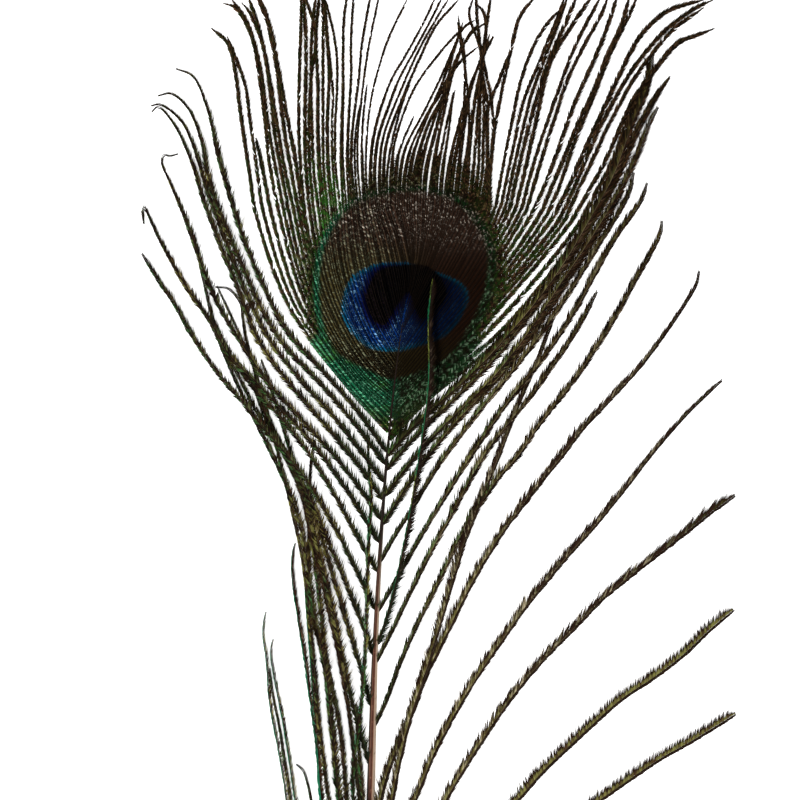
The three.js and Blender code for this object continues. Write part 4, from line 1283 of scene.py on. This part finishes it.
@dataclass(frozen=True)
class EyeFinish:
    """Barbules of the eye, whose stacked layers give structural colours: each place has its own
    hue, from the emerald rim over the bronze disc and the royal blue to the black-violet heart,
    with painted glints and painted shade on top, as if lit from the lower left.

    The ranges in its ramps are mm along X and Y or from an outline, and random tones up to 1.
    """

    name: str = "eye_barbule_keratin"
    crown: str = "#1a1008"
    crown_light: str = "#573e29"
    crown_green: str = "#367a28"
    bronze_left: str = "#4a4226"
    bronze_low: str = "#28200f"
    bronze_right: str = "#2a190f"
    bronze_top: str = "#402e24"
    # painted highlight of lit barbules
    glint: str = "#7c7f62"
    # painted glint flecks
    fleck_glint: str = "#aca092"
    emerald: str = "#115236"
    fern: str = "#3d7235"
    pine: str = "#17351a"
    # painted glints in the right of the rim
    right_rim_glint: str = "#8fb48c"
    # painted glints in the rim
    rim_glint: str = "#68b48c"
    teal: str = "#0c5a70"
    royal: str = "#073270"
    # painted glints in the blue
    blue_glint: str = "#74a6cc"
    # painted shade over the right of the blue
    blue_shade: str = "#030a18"
    violet: str = "#050e3c"
    heart: str = "#020203"
    heart_brown: str = "#1c1317"

    speck: float = 1.2  # size in mm of the noise of single barbules
    patch: float = 6.0  # and of that which parts emerald from fern
    roughness: float = 0.45
    metallic: float = 0.4
    specular: float = 0.02
    glints: float = 0.8  # strength of the painted glints on the lit barbules in the bronze
    right_rim_glints: float = 0.8  # and of the painted glints in the right of the rim
    fleck_glints: float = 0.7  # and of the painted glint flecks above the disc and close to it
    line: float = 0.3  # half the breadth in mm over which the blue and the heart set in
    ring_line: float = 0.6  # and over which the rim does
    foot_shade: float = 0.6  # how dark the painted shade at the barbules' feet is

    def bronze(self, r: Recipe, at: EyePlace) -> Socket:
        """The disc: olive bronze on the left, dark brown below and right, partly its own colours
        and partly painted light from the left, with painted glints on the left and painted glint
        flecks above.
        """
        # Lighter on the left than on the right: partly the disc's own colours, partly painted
        # light from the left
        colour = r.mix(r.ramp(at.x, 0.0, 14.0), self.bronze_left, self.bronze_right)
        colour = r.mix(at.lower, colour, self.bronze_low)
        colour = r.mix(at.upper, colour, self.bronze_top)
        # Painted glints on random barbules of the left half, and painted glint flecks above
        glinting = r.times(r.ramp(at.tone, 0.55, 0.9), self.glints, at.left)
        colour = r.mix(glinting, colour, self.glint)
        flecked = r.times(r.ramp(at.tone, 0.7, 1.0), r.ramp(at.y, 60.0, 70.0))
        return r.mix(flecked, colour, self.fleck_glint)

    def rim(self, r: Recipe, at: EyePlace, fine: Socket) -> Socket:
        """The green around it: thin at the left, broad and bright at the point, dark right, with
        painted glints and painted glint flecks.
        """
        colour = r.mix(r.ramp(r.noise(self.patch), 0.5, 0.7), self.emerald, self.fern)
        # Painted glints on random barbules, weaker towards the lower point
        glinting_rim = r.times(r.ramp(at.tone, 0.6, 0.9), r.ramp(at.y, 36.0, 44.0, 0.6, 1.0))
        colour = r.mix(glinting_rim, colour, self.rim_glint)
        # On the right, dark pine with painted glints
        glinting_right = r.mix(r.times(r.ramp(at.tone, 0.6, 1.0), self.right_rim_glints), self.pine, self.right_rim_glint)
        colour = r.mix(r.ramp(at.x, 0.5, 6.0), colour, glinting_right)
        colour = r.mix(r.times(at.upper, r.ramp(at.x, -14.0, -7.0)), colour, self.pine)
        broken = r.times(r.ramp(fine, 0.4, 0.6), r.ramp(at.x, -8.0, 6.0, 0.0, 0.8))
        colour = r.mix(broken, colour, self.crown)
        # Painted glint flecks above the disc
        flecked = r.times(at.upper, self.fleck_glints, r.ramp(at.tone, 0.72, 0.95))
        return r.mix(flecked, colour, self.fleck_glint)

    def outside(self, r: Recipe, at: EyePlace, fine: Socket) -> Socket:
        """The fringe: brown, with green towards the left and painted glint sparkles close to the
        disc.
        """
        colour = r.mix(r.ramp(at.tone, 0.4, 1.0), self.crown, self.crown_light)
        leftward = r.ramp(at.x, -5.0, -11.0, 0.3, 1.0)
        aside = r.math("MAXIMUM", leftward, r.ramp(at.y, 74.0, 66.0, 0.3, 1.0))
        verdant = r.times(at.green, r.ramp(fine, 0.42, 0.58), aside)
        colour = r.mix(verdant, colour, self.crown_green)
        # Painted glints on random barbules near the disc, fewer to the right
        sparkling = r.times(
            r.ramp(at.tone, 0.74, 0.95), r.ramp(at.disc, 9.0, 2.0, 0.0, self.fleck_glints),
            r.ramp(at.x, 22.0, 10.0, 0.2, 1.0),
        )
        return r.mix(sparkling, colour, self.glint)

    def azure(self, r: Recipe, at: EyePlace) -> Socket:
        """The blue, from teal at its rim to royal and to violet by the heart, with painted glints
        on the left and painted shade over the right.
        """
        colour = r.mix(r.ramp(at.blue, -2.0, 0.3), self.royal, self.teal)
        # Painted glints on random barbules, fewer to the right
        glinting_blue = r.times(r.ramp(at.tone, 0.72, 0.95), r.ramp(at.x, 2.0, 9.0, 0.9, 0.25))
        colour = r.mix(glinting_blue, colour, self.blue_glint)
        colour = r.mix(r.ramp(at.heart, 2.6, 0.4), colour, self.violet)
        # Painted shade over the right lobe
        colour = r.mix(r.ramp(at.x, 1.0, 11.0, 0.0, 0.86), colour, self.blue_shade)
        upper_rim = r.times(r.ramp(at.blue, -1.0, 0.0, 0.0, 0.5), r.ramp(at.y, 46.0, 56.0))
        return r.mix(upper_rim, colour, self.teal)

    def paint_shade(self, r: Recipe, at: EyePlace, colour: Socket) -> Socket:
        """Paints shade on the barbules' feet, and on one side of each barb more than the other, as
        if lit from the lower left.
        """
        on_ring = r.times(r.ramp(at.disc, -0.3, 0.3, 0.0, 0.75), r.ramp(at.y, 38.0, 44.0))
        near_disc = r.ramp(at.disc, 6.0, 1.0)
        shade = r.times(
            at.shade, near_disc, r.ramp(at.blue, -0.5, 0.5, 0.35, 1.0),
            r.math("SUBTRACT", 1.0, on_ring),
        )
        colour = r.mix(shade, colour, self.heart)
        at_foot = r.times(r.ramp(at.outward, 0.7, 0.1, 0.0, self.foot_shade), near_disc)
        return r.mix(at_foot, colour, self.heart)

    def build(self) -> Material:
        """Makes the material."""
        r = Recipe(self.name)
        at, fine = EyePlace(r), r.noise(self.speck)
        # How broad the rim is, in mm: broad at the lower point, thin elsewhere
        at_point = r.ramp(at.lower, 0.0, 1.0, 1.1, 7.0)
        breadth = r.math("ADD", at_point, r.ramp(at.x, 10.0, 24.0, 0.0, 0.4))
        past_rim = r.ramp(r.math("DIVIDE", at.disc, breadth), 0.8, 1.8)
        colour = r.mix(past_rim, self.rim(r, at, fine), self.outside(r, at, fine))
        off_disc = r.ramp(at.disc, -self.ring_line, self.ring_line)
        colour = r.mix(off_disc, self.bronze(r, at), colour)
        colour = r.mix(r.ramp(at.blue, self.line, -self.line), colour, self.azure(r, at))
        browned = r.times(r.ramp(at.tone, 0.3, 1.0), at.left)
        dark = r.mix(browned, self.heart, self.heart_brown)
        colour = r.mix(r.ramp(at.heart, self.line, -self.line), colour, dark)
        settings = {
            "Roughness": self.roughness, "Metallic": self.metallic,
            "Specular IOR Level": self.specular,
        }
        return r.finish(self.paint_shade(r, at, colour), settings)


@dataclass(frozen=True)
class RamusFinish:
    """The horn of a barb's own shaft: smooth and dark brown, with a painted highlight streaked
    along its left side.
    """

    name: str
    horn: str = "#1d120a"
    # colour of the painted highlight streak
    lit_streak: str = "#b09c74"
    roughness: float = 0.45
    specular: float = 0.12
    patch: float = 5.0  # size in mm of the noise that breaks up the painted highlight streak
    patches: Span = (0.35, 0.6)
    streak_edge: Span = (0.0, -0.25)  # place across, from the middle to the left
    streak_from: Span = (0.05, 0.4)  # shares along the barb
    streak_to: Span = (0.95, 0.7)

    def build(self) -> Material:
        """Makes the material."""
        r = Recipe(self.name)
        _, along, across = r.parts("grain")
        _, pale, _ = r.parts("hue")
        # Painted highlight along the left side of the ramus
        streak = r.times(
            pale, r.ramp(r.noise(self.patch), *self.patches), r.ramp(across, *self.streak_edge),
            r.times(r.ramp(along, *self.streak_from), r.ramp(along, *self.streak_to)),
        )
        settings = {"Roughness": self.roughness, "Specular IOR Level": self.specular}
        return r.finish(r.mix(streak, self.horn, self.lit_streak), settings)


@dataclass(frozen=True)
class ShaftFinish:
    """Polished horn of the shaft: pinkish brown with a red-brown band down its face, a painted
    highlight along its right edge and painted shade on its left rim, dark towards the eye, and a
    pale belly."""

    name: str = "shaft_horn"
    edge: str = "#b8a08a"
    face: str = "#8a5c44"
    rim: str = "#22120a"
    band: str = "#46200f"
    upper: str = "#1c110a"
    belly: str = "#cbb89a"
    roughness: float = 0.4
    specular: float = 0.2
    streak: float = 0.8  # size in mm of the noise that breaks up the band
    streaks: Span = (0.1, 0.45)
    lit_side: Span = (0.1, 0.6)  # places across, from -1 left to 1 right
    dark_side: Span = (-0.3, -0.75)
    band_shift: float = 0.12  # how far left of the middle the band lies
    band_edge: Span = (0.42, 0.2)
    upper_from: Span = (-34.0, -4.0)  # stations between which it turns dark
    belly_from: Span = (0.0, -0.6)  # heights, from -1 at the bottom to 1 at the top

    def build(self) -> Material:
        """Makes the material."""
        r = Recipe(self.name)
        across, height, along = r.parts("across")
        # Painted highlight towards the right edge, painted shade on the left rim
        colour = r.mix(r.ramp(across, *self.lit_side), self.face, self.edge)
        colour = r.mix(r.ramp(across, *self.dark_side), colour, self.rim)
        off_band = r.math("ABSOLUTE", r.math("ADD", across, self.band_shift), 0.0)
        streaks = r.ramp(r.noise(self.streak), *self.streaks)
        band = r.times(r.ramp(off_band, *self.band_edge), streaks)
        colour = r.mix(band, colour, self.band)
        colour = r.mix(r.ramp(along, *self.upper_from), colour, self.upper)
        colour = r.mix(r.ramp(height, *self.belly_from), colour, self.belly)
        settings = {"Roughness": self.roughness, "Specular IOR Level": self.specular}
        return r.finish(colour, settings)


@dataclass
class Shaft:
    """The feather's shaft, from the quill's point to its thread-thin end in the eye."""

    stations: int = 64
    sides: int = 16

    def ring_matrix(self, place: np.ndarray, ahead: np.ndarray) -> Matrix:
        """Lays a unit circle across the shaft at a place of its middle line."""
        width = float(read_off(SHAFT_WIDTHS, place[1]))
        depth = width * SHAFT_DEPTH_SHARE
        heading = Matrix.Rotation(math.atan2(-ahead[0], ahead[1]), 4, "Z")
        upright = Matrix.Rotation(math.pi / 2, 4, "X")
        at = Matrix.Translation(Vector((place[0], place[1], depth / 2)) * MM)
        return at @ (heading @ upright) @ Matrix.Diagonal((width / 2 * MM, depth / 2 * MM, 1, 1))

    def build(self) -> bpy.types.Object:
        """Lofts the shaft through rings and dresses it.

        Returns:
            The shaft's object.
        """
        bm = bmesh.new()
        middle = resample(SHAFT_PLAN, self.stations)
        along = unit(np.gradient(middle, axis=0))
        rings = [
            bmesh.ops.create_circle(
                bm, segments=self.sides, radius=1, matrix=self.ring_matrix(place, ahead),
            )["verts"]
            for place, ahead in zip(middle, along)
        ]
        bm.edges.index_update()
        loops = [
            sorted({e for v in ring for e in v.link_edges}, key=lambda edge: edge.index)
            for ring in rings
        ]
        for first, second in zip(loops, loops[1:]):
            bmesh.ops.bridge_loops(bm, edges=first + second)
        for loop in (loops[0], loops[-1]):
            bmesh.ops.edgeloop_fill(bm, edges=[e for e in loop if e.is_valid])
        bmesh.ops.triangulate(bm, faces=bm.faces[:])
        bmesh.ops.recalc_face_normals(bm, faces=bm.faces[:])
        mesh = bpy.data.meshes.new("shaft")
        bm.to_mesh(mesh)
        bm.free()
        mesh.polygons.foreach_set("use_smooth", np.ones(len(mesh.polygons), bool))
        places = np.empty(len(mesh.vertices) * 3, np.float32)
        mesh.vertices.foreach_get("co", places)
        places = places.reshape(-1, 3) / MM
        width = read_off(SHAFT_WIDTHS, places[:, 1])
        across = (places[:, 0] - shaft_at(places[:, 1])) / (width / 2)
        height = places[:, 2] / (width * SHAFT_DEPTH_SHARE / 2) - 1
        add_layer(mesh, "across", np.column_stack([across, height, places[:, 1]]))
        corner = np.empty(len(mesh.loops), np.int32)
        mesh.loops.foreach_get("vertex_index", corner)
        plan_map(mesh, places[corner, :2])
        mesh.materials.append(ShaftFinish().build())
        return add_object("shaft", mesh)


@dataclass
class WebBarb:
    """One barb of the eye: where it leaves the shaft, its line, and what belongs to its web."""

    root: float
    line: np.ndarray
    web: float  # share of the line that lies below the free end
    extra: bool  # whether its free end lies along with another one's

    def web_line(self, samples: int) -> np.ndarray:
        """Even points of the part from the shaft up to the free end."""
        arc = arc_lengths(self.line)
        even = np.linspace(0, self.web * arc[-1], samples)
        return np.stack([np.interp(even, arc, self.line[:, k]) for k in range(2)], axis=1)


@dataclass
class EyeHalf:
    """The barbs on one side of the shaft that knit into the eye's web and fan out above it."""

    side: Side
    guides: tuple
    crown: tuple
    seed: int
    breadths: Route  # half widths of the free ends, at places across
    pitches: Route  # how far apart the barbs stand where they become free, at places across
    style: BarbStyle = field(default_factory=lambda: BarbStyle(
        pitch=0.22, left=Fringe(1.0, 22, 0.9), right=Fringe(1.0, 22, 0.3),
        ramus=(0.15, 0.16), ramus_end=0.5, tip_fade=0.06, root_fade=0.01, notches=0.02,
    ))
    barbs: list[WebBarb] = field(default_factory=list)

    def web_part(self, base: np.ndarray) -> tuple[float, np.ndarray]:
        """The way of a barb from the shaft to where its free end starts.

        Args:
            base: Where the free end starts.

        Returns:
            Station of the root, and the places passed up to base.
        """
        ends = np.array([g[3][0] for g in self.guides])
        order = np.argsort(ends)
        place = float(np.interp(base[0], ends[order], np.arange(len(ends))[order]))
        low = min(int(place), len(self.guides) - 2)
        mix = place - low
        first, second = self.guides[low], self.guides[low + 1]
        root = first[0] + (second[0] - first[0]) * mix
        pairs = zip(np.array(first[1:]), np.array(second[1:]))
        passed = [p + (q - p) * mix for p, q in pairs]
        slip = base[0] - passed[2][0]
        near, far = ([share * slip, 0] for share in GUIDE_SLIPS)
        start = root_place(root, self.side.value)
        return root, np.array([start, passed[0] + near, passed[1] + far])

    def plan(self) -> None:
        """Lays out the barbs of this half, from its outer edge to the middle."""
        random = np.random.default_rng(self.seed)
        strands = [np.array(s, float) for s in self.crown]
        for own, other in zip(strands, strands[1:] + strands[-1:]):
            apart = np.linalg.norm(other[0] - own[0])
            slots = max(int(round(apart / read_off(self.pitches, own[0][0]))), 1)
            for slot in range(slots):
                base = own[0] + (other[0] - own[0]) * slot / slots
                root, passed = self.web_part(base)
                free = smooth_line(own, FREE_POINTS)
                share = np.linspace(0, 1, len(free))[:, None]
                stray = np.array([random.normal(0, FREE_WANDER), 0.0]) * share * bool(slot)
                free = free + (base - own[0]) * (1 - share) ** 2 + stray
                if slot:
                    left = int(len(free) * random.uniform(*FREE_LENGTHS))
                    free = free[: max(left, FREE_POINTS)]
                ahead = free[FIRST_FREE : FIRST_FREE + 1]
                web = smooth_line(np.vstack([passed, free[:1], ahead]), WEB_POINTS)
                web = web[: WEB_POINTS * len(passed)]
                line = np.vstack([web, free])
                knit = arc_lengths(web)[-1] / arc_lengths(line)[-1]
                self.barbs.append(WebBarb(root, line, knit, bool(slot)))

    def rooms(self, lines: list[np.ndarray], i: int) -> dict[int, np.ndarray]:
        """Distances from barb i to the next ones on its left, -1, and on its right, 1."""
        ahead = unit(np.gradient(lines[i], axis=0))
        normal = np.column_stack([ahead[:, 1], -ahead[:, 0]])
        inward = np.abs(np.sum((lines[i + 1] - lines[i]) * normal, axis=1))
        outward = np.full(len(normal), EDGE_ROOM)
        if i:
            outward = np.abs(np.sum((lines[i - 1] - lines[i]) * normal, axis=1))
        return {-self.side.value: inward, self.side.value: outward}

    def build(self, materials: list[Material], facing: WebBarb) -> bpy.types.Object:
        """Makes this half of the eye.

        Args:
            materials: Finishes of rami and barbules.
            facing: The other half's middle barb.

        Returns:
            The half's object.
        """
        mesh = BarbMesh(self.seed)
        side = self.side.value
        lines = [barb.web_line(WEB_SAMPLES) for barb in [*self.barbs, facing]]
        for i, barb in enumerate(self.barbs):
            rooms, top = self.rooms(lines, i), lines[i][-1][0]
            in_patch = smoothstep(*GREEN_FROM, top) * (1 - smoothstep(*GREEN_TO, top))
            green = GREEN_LEAST + (1 - GREEN_LEAST) * float(in_patch)
            lift = mesh.random.uniform(-EYE_LIFT, EYE_LIFT) + EXTRA_LIFT * (i % 2) * barb.extra
            strand = Strand(barb.line, barb.root, lift)
            mesh.add_ramus(strand, self.style, True, side)
            breadth = float(read_off(self.breadths, top)) * (EXTRA_BREADTH if barb.extra else 1.0)
            breadth = breadth * mesh.random.uniform(*BREADTH_SPREAD)
            mesh.add_plate(strand, side, rooms, barb.web, green)
            mesh.add_blades(strand, self.style, side, rooms, barb.web, green, breadth)
        return mesh.write(f"eye_{self.side.name.lower()}", materials)


@dataclass
class LooseBarbs:
    """Free barbs of one region, each with hair-like barbules on both edges."""

    name: str
    side: Side
    routes: tuple
    style: BarbStyle
    seed: int
    own: dict[int, BarbStyle] = field(default_factory=dict)  # styles of barbs that differ
    lift: Span = (-0.5, 0.6)  # least and greatest extra height of a barb's middle
    tip: float = TIP_HEIGHT

    def build(self, materials: list[Material]) -> bpy.types.Object:
        """Makes the barbs of this region.

        Args:
            materials: Finishes of rami and barbules.

        Returns:
            The region's object.
        """
        mesh = BarbMesh(self.seed)
        for i, places in enumerate(self.routes):
            style = self.own.get(i, self.style)
            root = places[0][1]
            passed = np.array([root_place(root, self.side.value), *places[1:]], float)
            plan = smooth_line(passed, HERL_POINTS)
            strand = Strand(plan, root, mesh.random.uniform(*self.lift), self.tip)
            mesh.add_ramus(strand, style, False, self.side.value)
            mesh.add_hairs(strand, style, self.side.value)
        return mesh.write(self.name, materials)


def short_barbs() -> list[Route]:
    """Routes of the pairs of ever shorter barbs that end the vane above the quill."""
    routes = []
    for i in range(SHORT_BARB_PAIRS):
        root = SHORT_BARB_FIRST - i * SHORT_BARB_PITCH
        length = SHORT_BARB_LENGTH * SHORT_BARB_SHRINK**i
        x = float(shaft_at(root))
        sideways, along = SHORT_BARB_BOW
        for side, aside, upward in SHORT_BARB_REACH:
            via = tuple(
                (x + side * aside * length * s**sideways, root + upward * length * s**along)
                for s in SHORT_BARB_PLACES
            )
            routes.append(((x, root), *via))
    return routes


def lay_floor() -> None:
    """Lays the pale matte floor under the feather."""
    bm = bmesh.new()
    bmesh.ops.create_grid(bm, x_segments=1, y_segments=1, size=FLOOR_HALF)
    mesh = bpy.data.meshes.new("floor")
    bm.to_mesh(mesh)
    bm.free()
    r = Recipe("matte_white_paper")
    colour = r.mix(r.ramp(r.noise(40.0), 0.3, 0.7), "#f4f4f4", "#f6f6f6")
    mesh.materials.append(r.finish(colour, {
        "Roughness": 0.9, "Specular IOR Level": 0.0,
        "Emission Color": (1, 1, 1, 1), "Emission Strength": FLOOR_GLOW,
    }))
    floor = add_object("floor", mesh)


@dataclass(frozen=True)
class SoftBox:
    """A square area light that faces the eye. Angles in degrees, sizes in metres."""

    name: str
    azimuth: float
    elevation: float
    size: float
    power: float

    def hang(self) -> None:
        """Makes the light."""
        light = bpy.data.lights.new(self.name, "AREA")
        light.energy = self.power
        light.size = self.size
        turn, rise = math.radians(self.azimuth), math.radians(self.elevation)
        level = math.cos(rise)
        offset = Vector((math.cos(turn) * level, math.sin(turn) * level, math.sin(rise)))
        lamp = add_object(self.name, light)
        lamp.location = offset * LIGHT_DISTANCE + LIT_PLACE
        lamp.rotation_euler = offset.to_track_quat("Z", "Y").to_euler()


def light_and_aim() -> None:
    """Hangs the lights and sets the camera straight above the eye."""
    for box in (
        SoftBox("key", 225, 50, 0.3, 11.0),
        SoftBox("fill_right", -20, 38, 0.8, 1.6),
        SoftBox("fill_back", 100, 38, 0.8, 1.6),
    ):
        box.hang()
    world = bpy.data.worlds.new("studio")
    world.use_nodes = True
    sky = world.node_tree.nodes["Background"].inputs
    sky["Color"].default_value = (1, 1, 1, 1)
    sky["Strength"].default_value = SKY_STRENGTH
    bpy.context.scene.world = world
    camera = bpy.data.cameras.new("camera")
    camera.lens, camera.sensor_width = CAMERA_LENS, CAMERA_SENSOR
    camera.clip_end = CAMERA_SIGHT
    eye = add_object("camera", camera)
    eye.location = CAMERA_PLACE
    bpy.context.scene.camera = eye
    bpy.context.scene.view_settings.view_transform = "Standard"


# The edge towards the quill lies close, and the one towards the eye stands off as a comb
NEAR_EDGE = Fringe(2.2, 28, green=0.55, bend=6, stubble=0.88)
FAR_EDGE = Fringe(3.3, 44, green=0.2, base=0.15, bend=10, stubble=0.7)
TEAL_EDGE = Fringe(1.7, 18, green=1.0, bend=4, stubble=0.9)
BROWN_COMB = Fringe(2.7, 52, green=0.0, base=0.15, bend=14, pale=0.15, stubble=0.5)
HERL_LEFT = BarbStyle(pitch=0.15, left=NEAR_EDGE, right=FAR_EDGE, tip_fade=0.45)
HERL_CURLED = replace(HERL_LEFT, tip_fade=0.26, fine_tip=0.6, ramus=(0.36, 0.34), ramus_end=0.85)
HERL_TEAL = BarbStyle(pitch=0.15, left=TEAL_EDGE, right=BROWN_COMB, tip_fade=0.2)
HERL_LOW = BarbStyle(
    pitch=0.15, left=Fringe(1.8, 26, green=0.7, bend=6, stubble=0.88),
    right=Fringe(2.0, 42, green=0.15, base=0.15, bend=10, stubble=0.76), tip_fade=0.4, ragged=0.5,
)
HERL_BROAD = BarbStyle(
    pitch=0.14, left=Fringe(2.1, 34, green=0.0),
    right=Fringe(2.2, 42, green=0.2, base=0.15, bend=10, stubble=0.76), tip_fade=0.35, ragged=0.6,
)
HERL_THIN = BarbStyle(
    pitch=0.2, left=Fringe(1.6, 18, green=1.0, base=0.13, bend=4),
    right=Fringe(2.6, 46, green=0.5, base=0.12, pale=0.3, stubble=0.55), ramus=(0.3, 0.3),
    tip_fade=0.2, ragged=0.5,
)
HERL_RIGHT = BarbStyle(
    pitch=0.15, left=Fringe(4.1, 34, green=0.6, pale=0.35, stubble=0.74, teeth=6),
    right=Fringe(2.4, 20, green=0.05, pale=0.5, stubble=0.9), ramus=(0.4, 0.36), closing=0.3,
    root_fade=0.4, root_share=0.7, tip_fade=0.12, pale=0.4, root_closing=1.0,
)
HERL_NEAR = replace(
    HERL_RIGHT, left=Fringe(3.6, 34, green=0.6, pale=0.2, stubble=0.74, teeth=6),
    right=Fringe(2.9, 34, green=0.05, base=0.15, stubble=0.7), root_share=1.0, root_closing=0.0,
)
HERL_BESIDE_WEB = replace(HERL_NEAR, left=Fringe(5.4, 36, green=0.6))
HERL_LONG = BarbStyle(
    pitch=0.15, left=Fringe(4.8, 34, green=0.5, base=0.17, pale=0.8, stubble=0.84, teeth=6),
    right=Fringe(2.2, 16, green=0.0, base=0.2, stubble=1.0), ramus=(0.5, 0.42), tip_fade=0.3,
    pale=0.25, ragged=0.7,
)
HERL_EVEN = replace(HERL_LONG, tip_fade=0.03, closing=0.0)
HERL_GOLDEN = BarbStyle(
    pitch=0.15, left=Fringe(3.7, 54, green=0.65, base=0.24, bend=4, stubble=0.84, teeth=8),
    right=Fringe(2.2, 16, green=0.0, base=0.22, stubble=1.0), ramus=(0.56, 0.44), tip_fade=0.02,
    pale=0.1, closing=0.0, ragged=0.35,
)
HERL_LIME = BarbStyle(
    pitch=0.15, left=Fringe(2.4, 32, green=0.75), right=FAR_EDGE, tip_fade=0.3,
)
HERL_GREEN = BarbStyle(
    pitch=0.16, left=Fringe(2.0, 30, green=0.85, base=0.15),
    right=Fringe(2.0, 34, green=0.6, base=0.15, stubble=0.7), tip_fade=0.2,
)
STRAY_HERL = BarbStyle(
    pitch=0.12, left=Fringe(2.0, 16, green=1.4, base=0.12, bend=6),
    right=Fringe(3.0, 48, green=0.0, base=0.14, bend=12, stubble=0.68), ramus=(0.4, 0.3),
    tip_fade=0.05,
)


def main() -> None:
    """Builds the feather piece by piece and reports each."""
    herl_finish = HerlFinish().build()
    eye_finish = EyeFinish().build()
    stray_finish = HerlFinish(
        "stray_barbule_keratin", umber="#24140e", olive="#7f8c3a", leaf="#1c7a4e",
    ).build()
    right_finish = HerlFinish(
        "right_barbule_keratin", olive="#7d813c", shaded=0.5, fading=0.8, banded=0.3,
    ).build()
    golden_finish = HerlFinish(
        "golden_barbule_keratin", brown="#37241a", umber="#1c110a", olive="#827f44",
        leaf="#77823e", shaded=0.15, fading=0.6, banded=0.85,
    ).build()
    free_ramus = RamusFinish("free_barb_horn").build()
    # the eye's rami carry a dimmer painted highlight streak
    eye_ramus = RamusFinish("eye_barb_horn", horn="#120b06", lit_streak="#6a5a44").build()

    pieces = [(Shaft().build(), "shaft")]
    left = EyeHalf(
        Side.LEFT, LEFT_GUIDES, CROWN_LEFT, 11,
        breadths=((-33, 0.68), (-20, 0.66), (-14, 0.52), (-8, 0.42), (2, 0.38)),
        pitches=((-20, 9), (-16, 0.8), (-8, 0.66), (2, 0.62)),
    )
    right = EyeHalf(
        Side.RIGHT, RIGHT_GUIDES, CROWN_RIGHT[::-1], 12,
        breadths=((2, 0.38), (18, 0.42), (22, 0.5), (27, 0.62), (36, 0.74), (52, 0.76)),
        pitches=((2, 0.62), (20, 0.7), (26, 0.9), (32, 9)),
    )
    left.plan()
    right.plan()
    pieces.append((left.build([eye_ramus, eye_finish], right.barbs[-1]), "eye"))
    pieces.append((right.build([eye_ramus, eye_finish], left.barbs[-1]), "eye"))
    low_styles = {i: HERL_TEAL for i in (3, 4)} | {i: HERL_BROAD for i in (0, 11)}
    low_styles |= {i: HERL_THIN for i in (5, 6)} | {1: HERL_LIME, 9: HERL_GREEN, 12: HERL_LIME}
    curled_styles = {i: HERL_CURLED for i in range(5)}
    curled_styles |= {5: replace(HERL_CURLED, fine_tip=0.3), 7: replace(HERL_LEFT, tip_fade=0.12)}
    roots = [places[0][1] for places in HERLS_RIGHT]
    near_styles = {i: HERL_NEAR for i, root in enumerate(roots) if root > NEAR_FROM}
    near_styles[roots.index(max(roots))] = HERL_BESIDE_WEB
    long_styles = {3: HERL_EVEN, 4: HERL_GOLDEN, 5: HERL_GOLDEN}
    for group in (
        LooseBarbs("herls_left", Side.LEFT, HERLS_LEFT, HERL_LEFT, 21, curled_styles),
        LooseBarbs("herls_left_low", Side.LEFT, HERLS_LEFT_LOW, HERL_LOW, 22, low_styles),
        LooseBarbs("herls_right", Side.RIGHT, HERLS_RIGHT, HERL_RIGHT, 23, near_styles),
        LooseBarbs("herls_right_low", Side.RIGHT, HERLS_RIGHT_LOW, HERL_LONG, 24, long_styles),
        LooseBarbs("stray_herl", Side.RIGHT, STRAY, STRAY_HERL, 25, lift=(0.9, 0.9), tip=3.0),
        LooseBarbs("quill_herls", Side.LEFT, tuple(short_barbs()), HERL_LEFT, 26),
    ):
        barbules = {
            "stray_herl": stray_finish, "herls_right": right_finish,
            "herls_right_low": golden_finish,
        }.get(group.name, herl_finish)
        pieces.append((group.build([free_ramus, barbules]), "barbs"))

    for piece, slot in pieces:
        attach(piece, "root")
        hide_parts("feather")
        log.info("%s: %d triangles", piece.name, len(piece.data.polygons))
    lay_floor()
    light_and_aim()


if __name__ == "__main__":
    logging.basicConfig(level=logging.INFO, format="%(name)s: %(message)s")
    main()
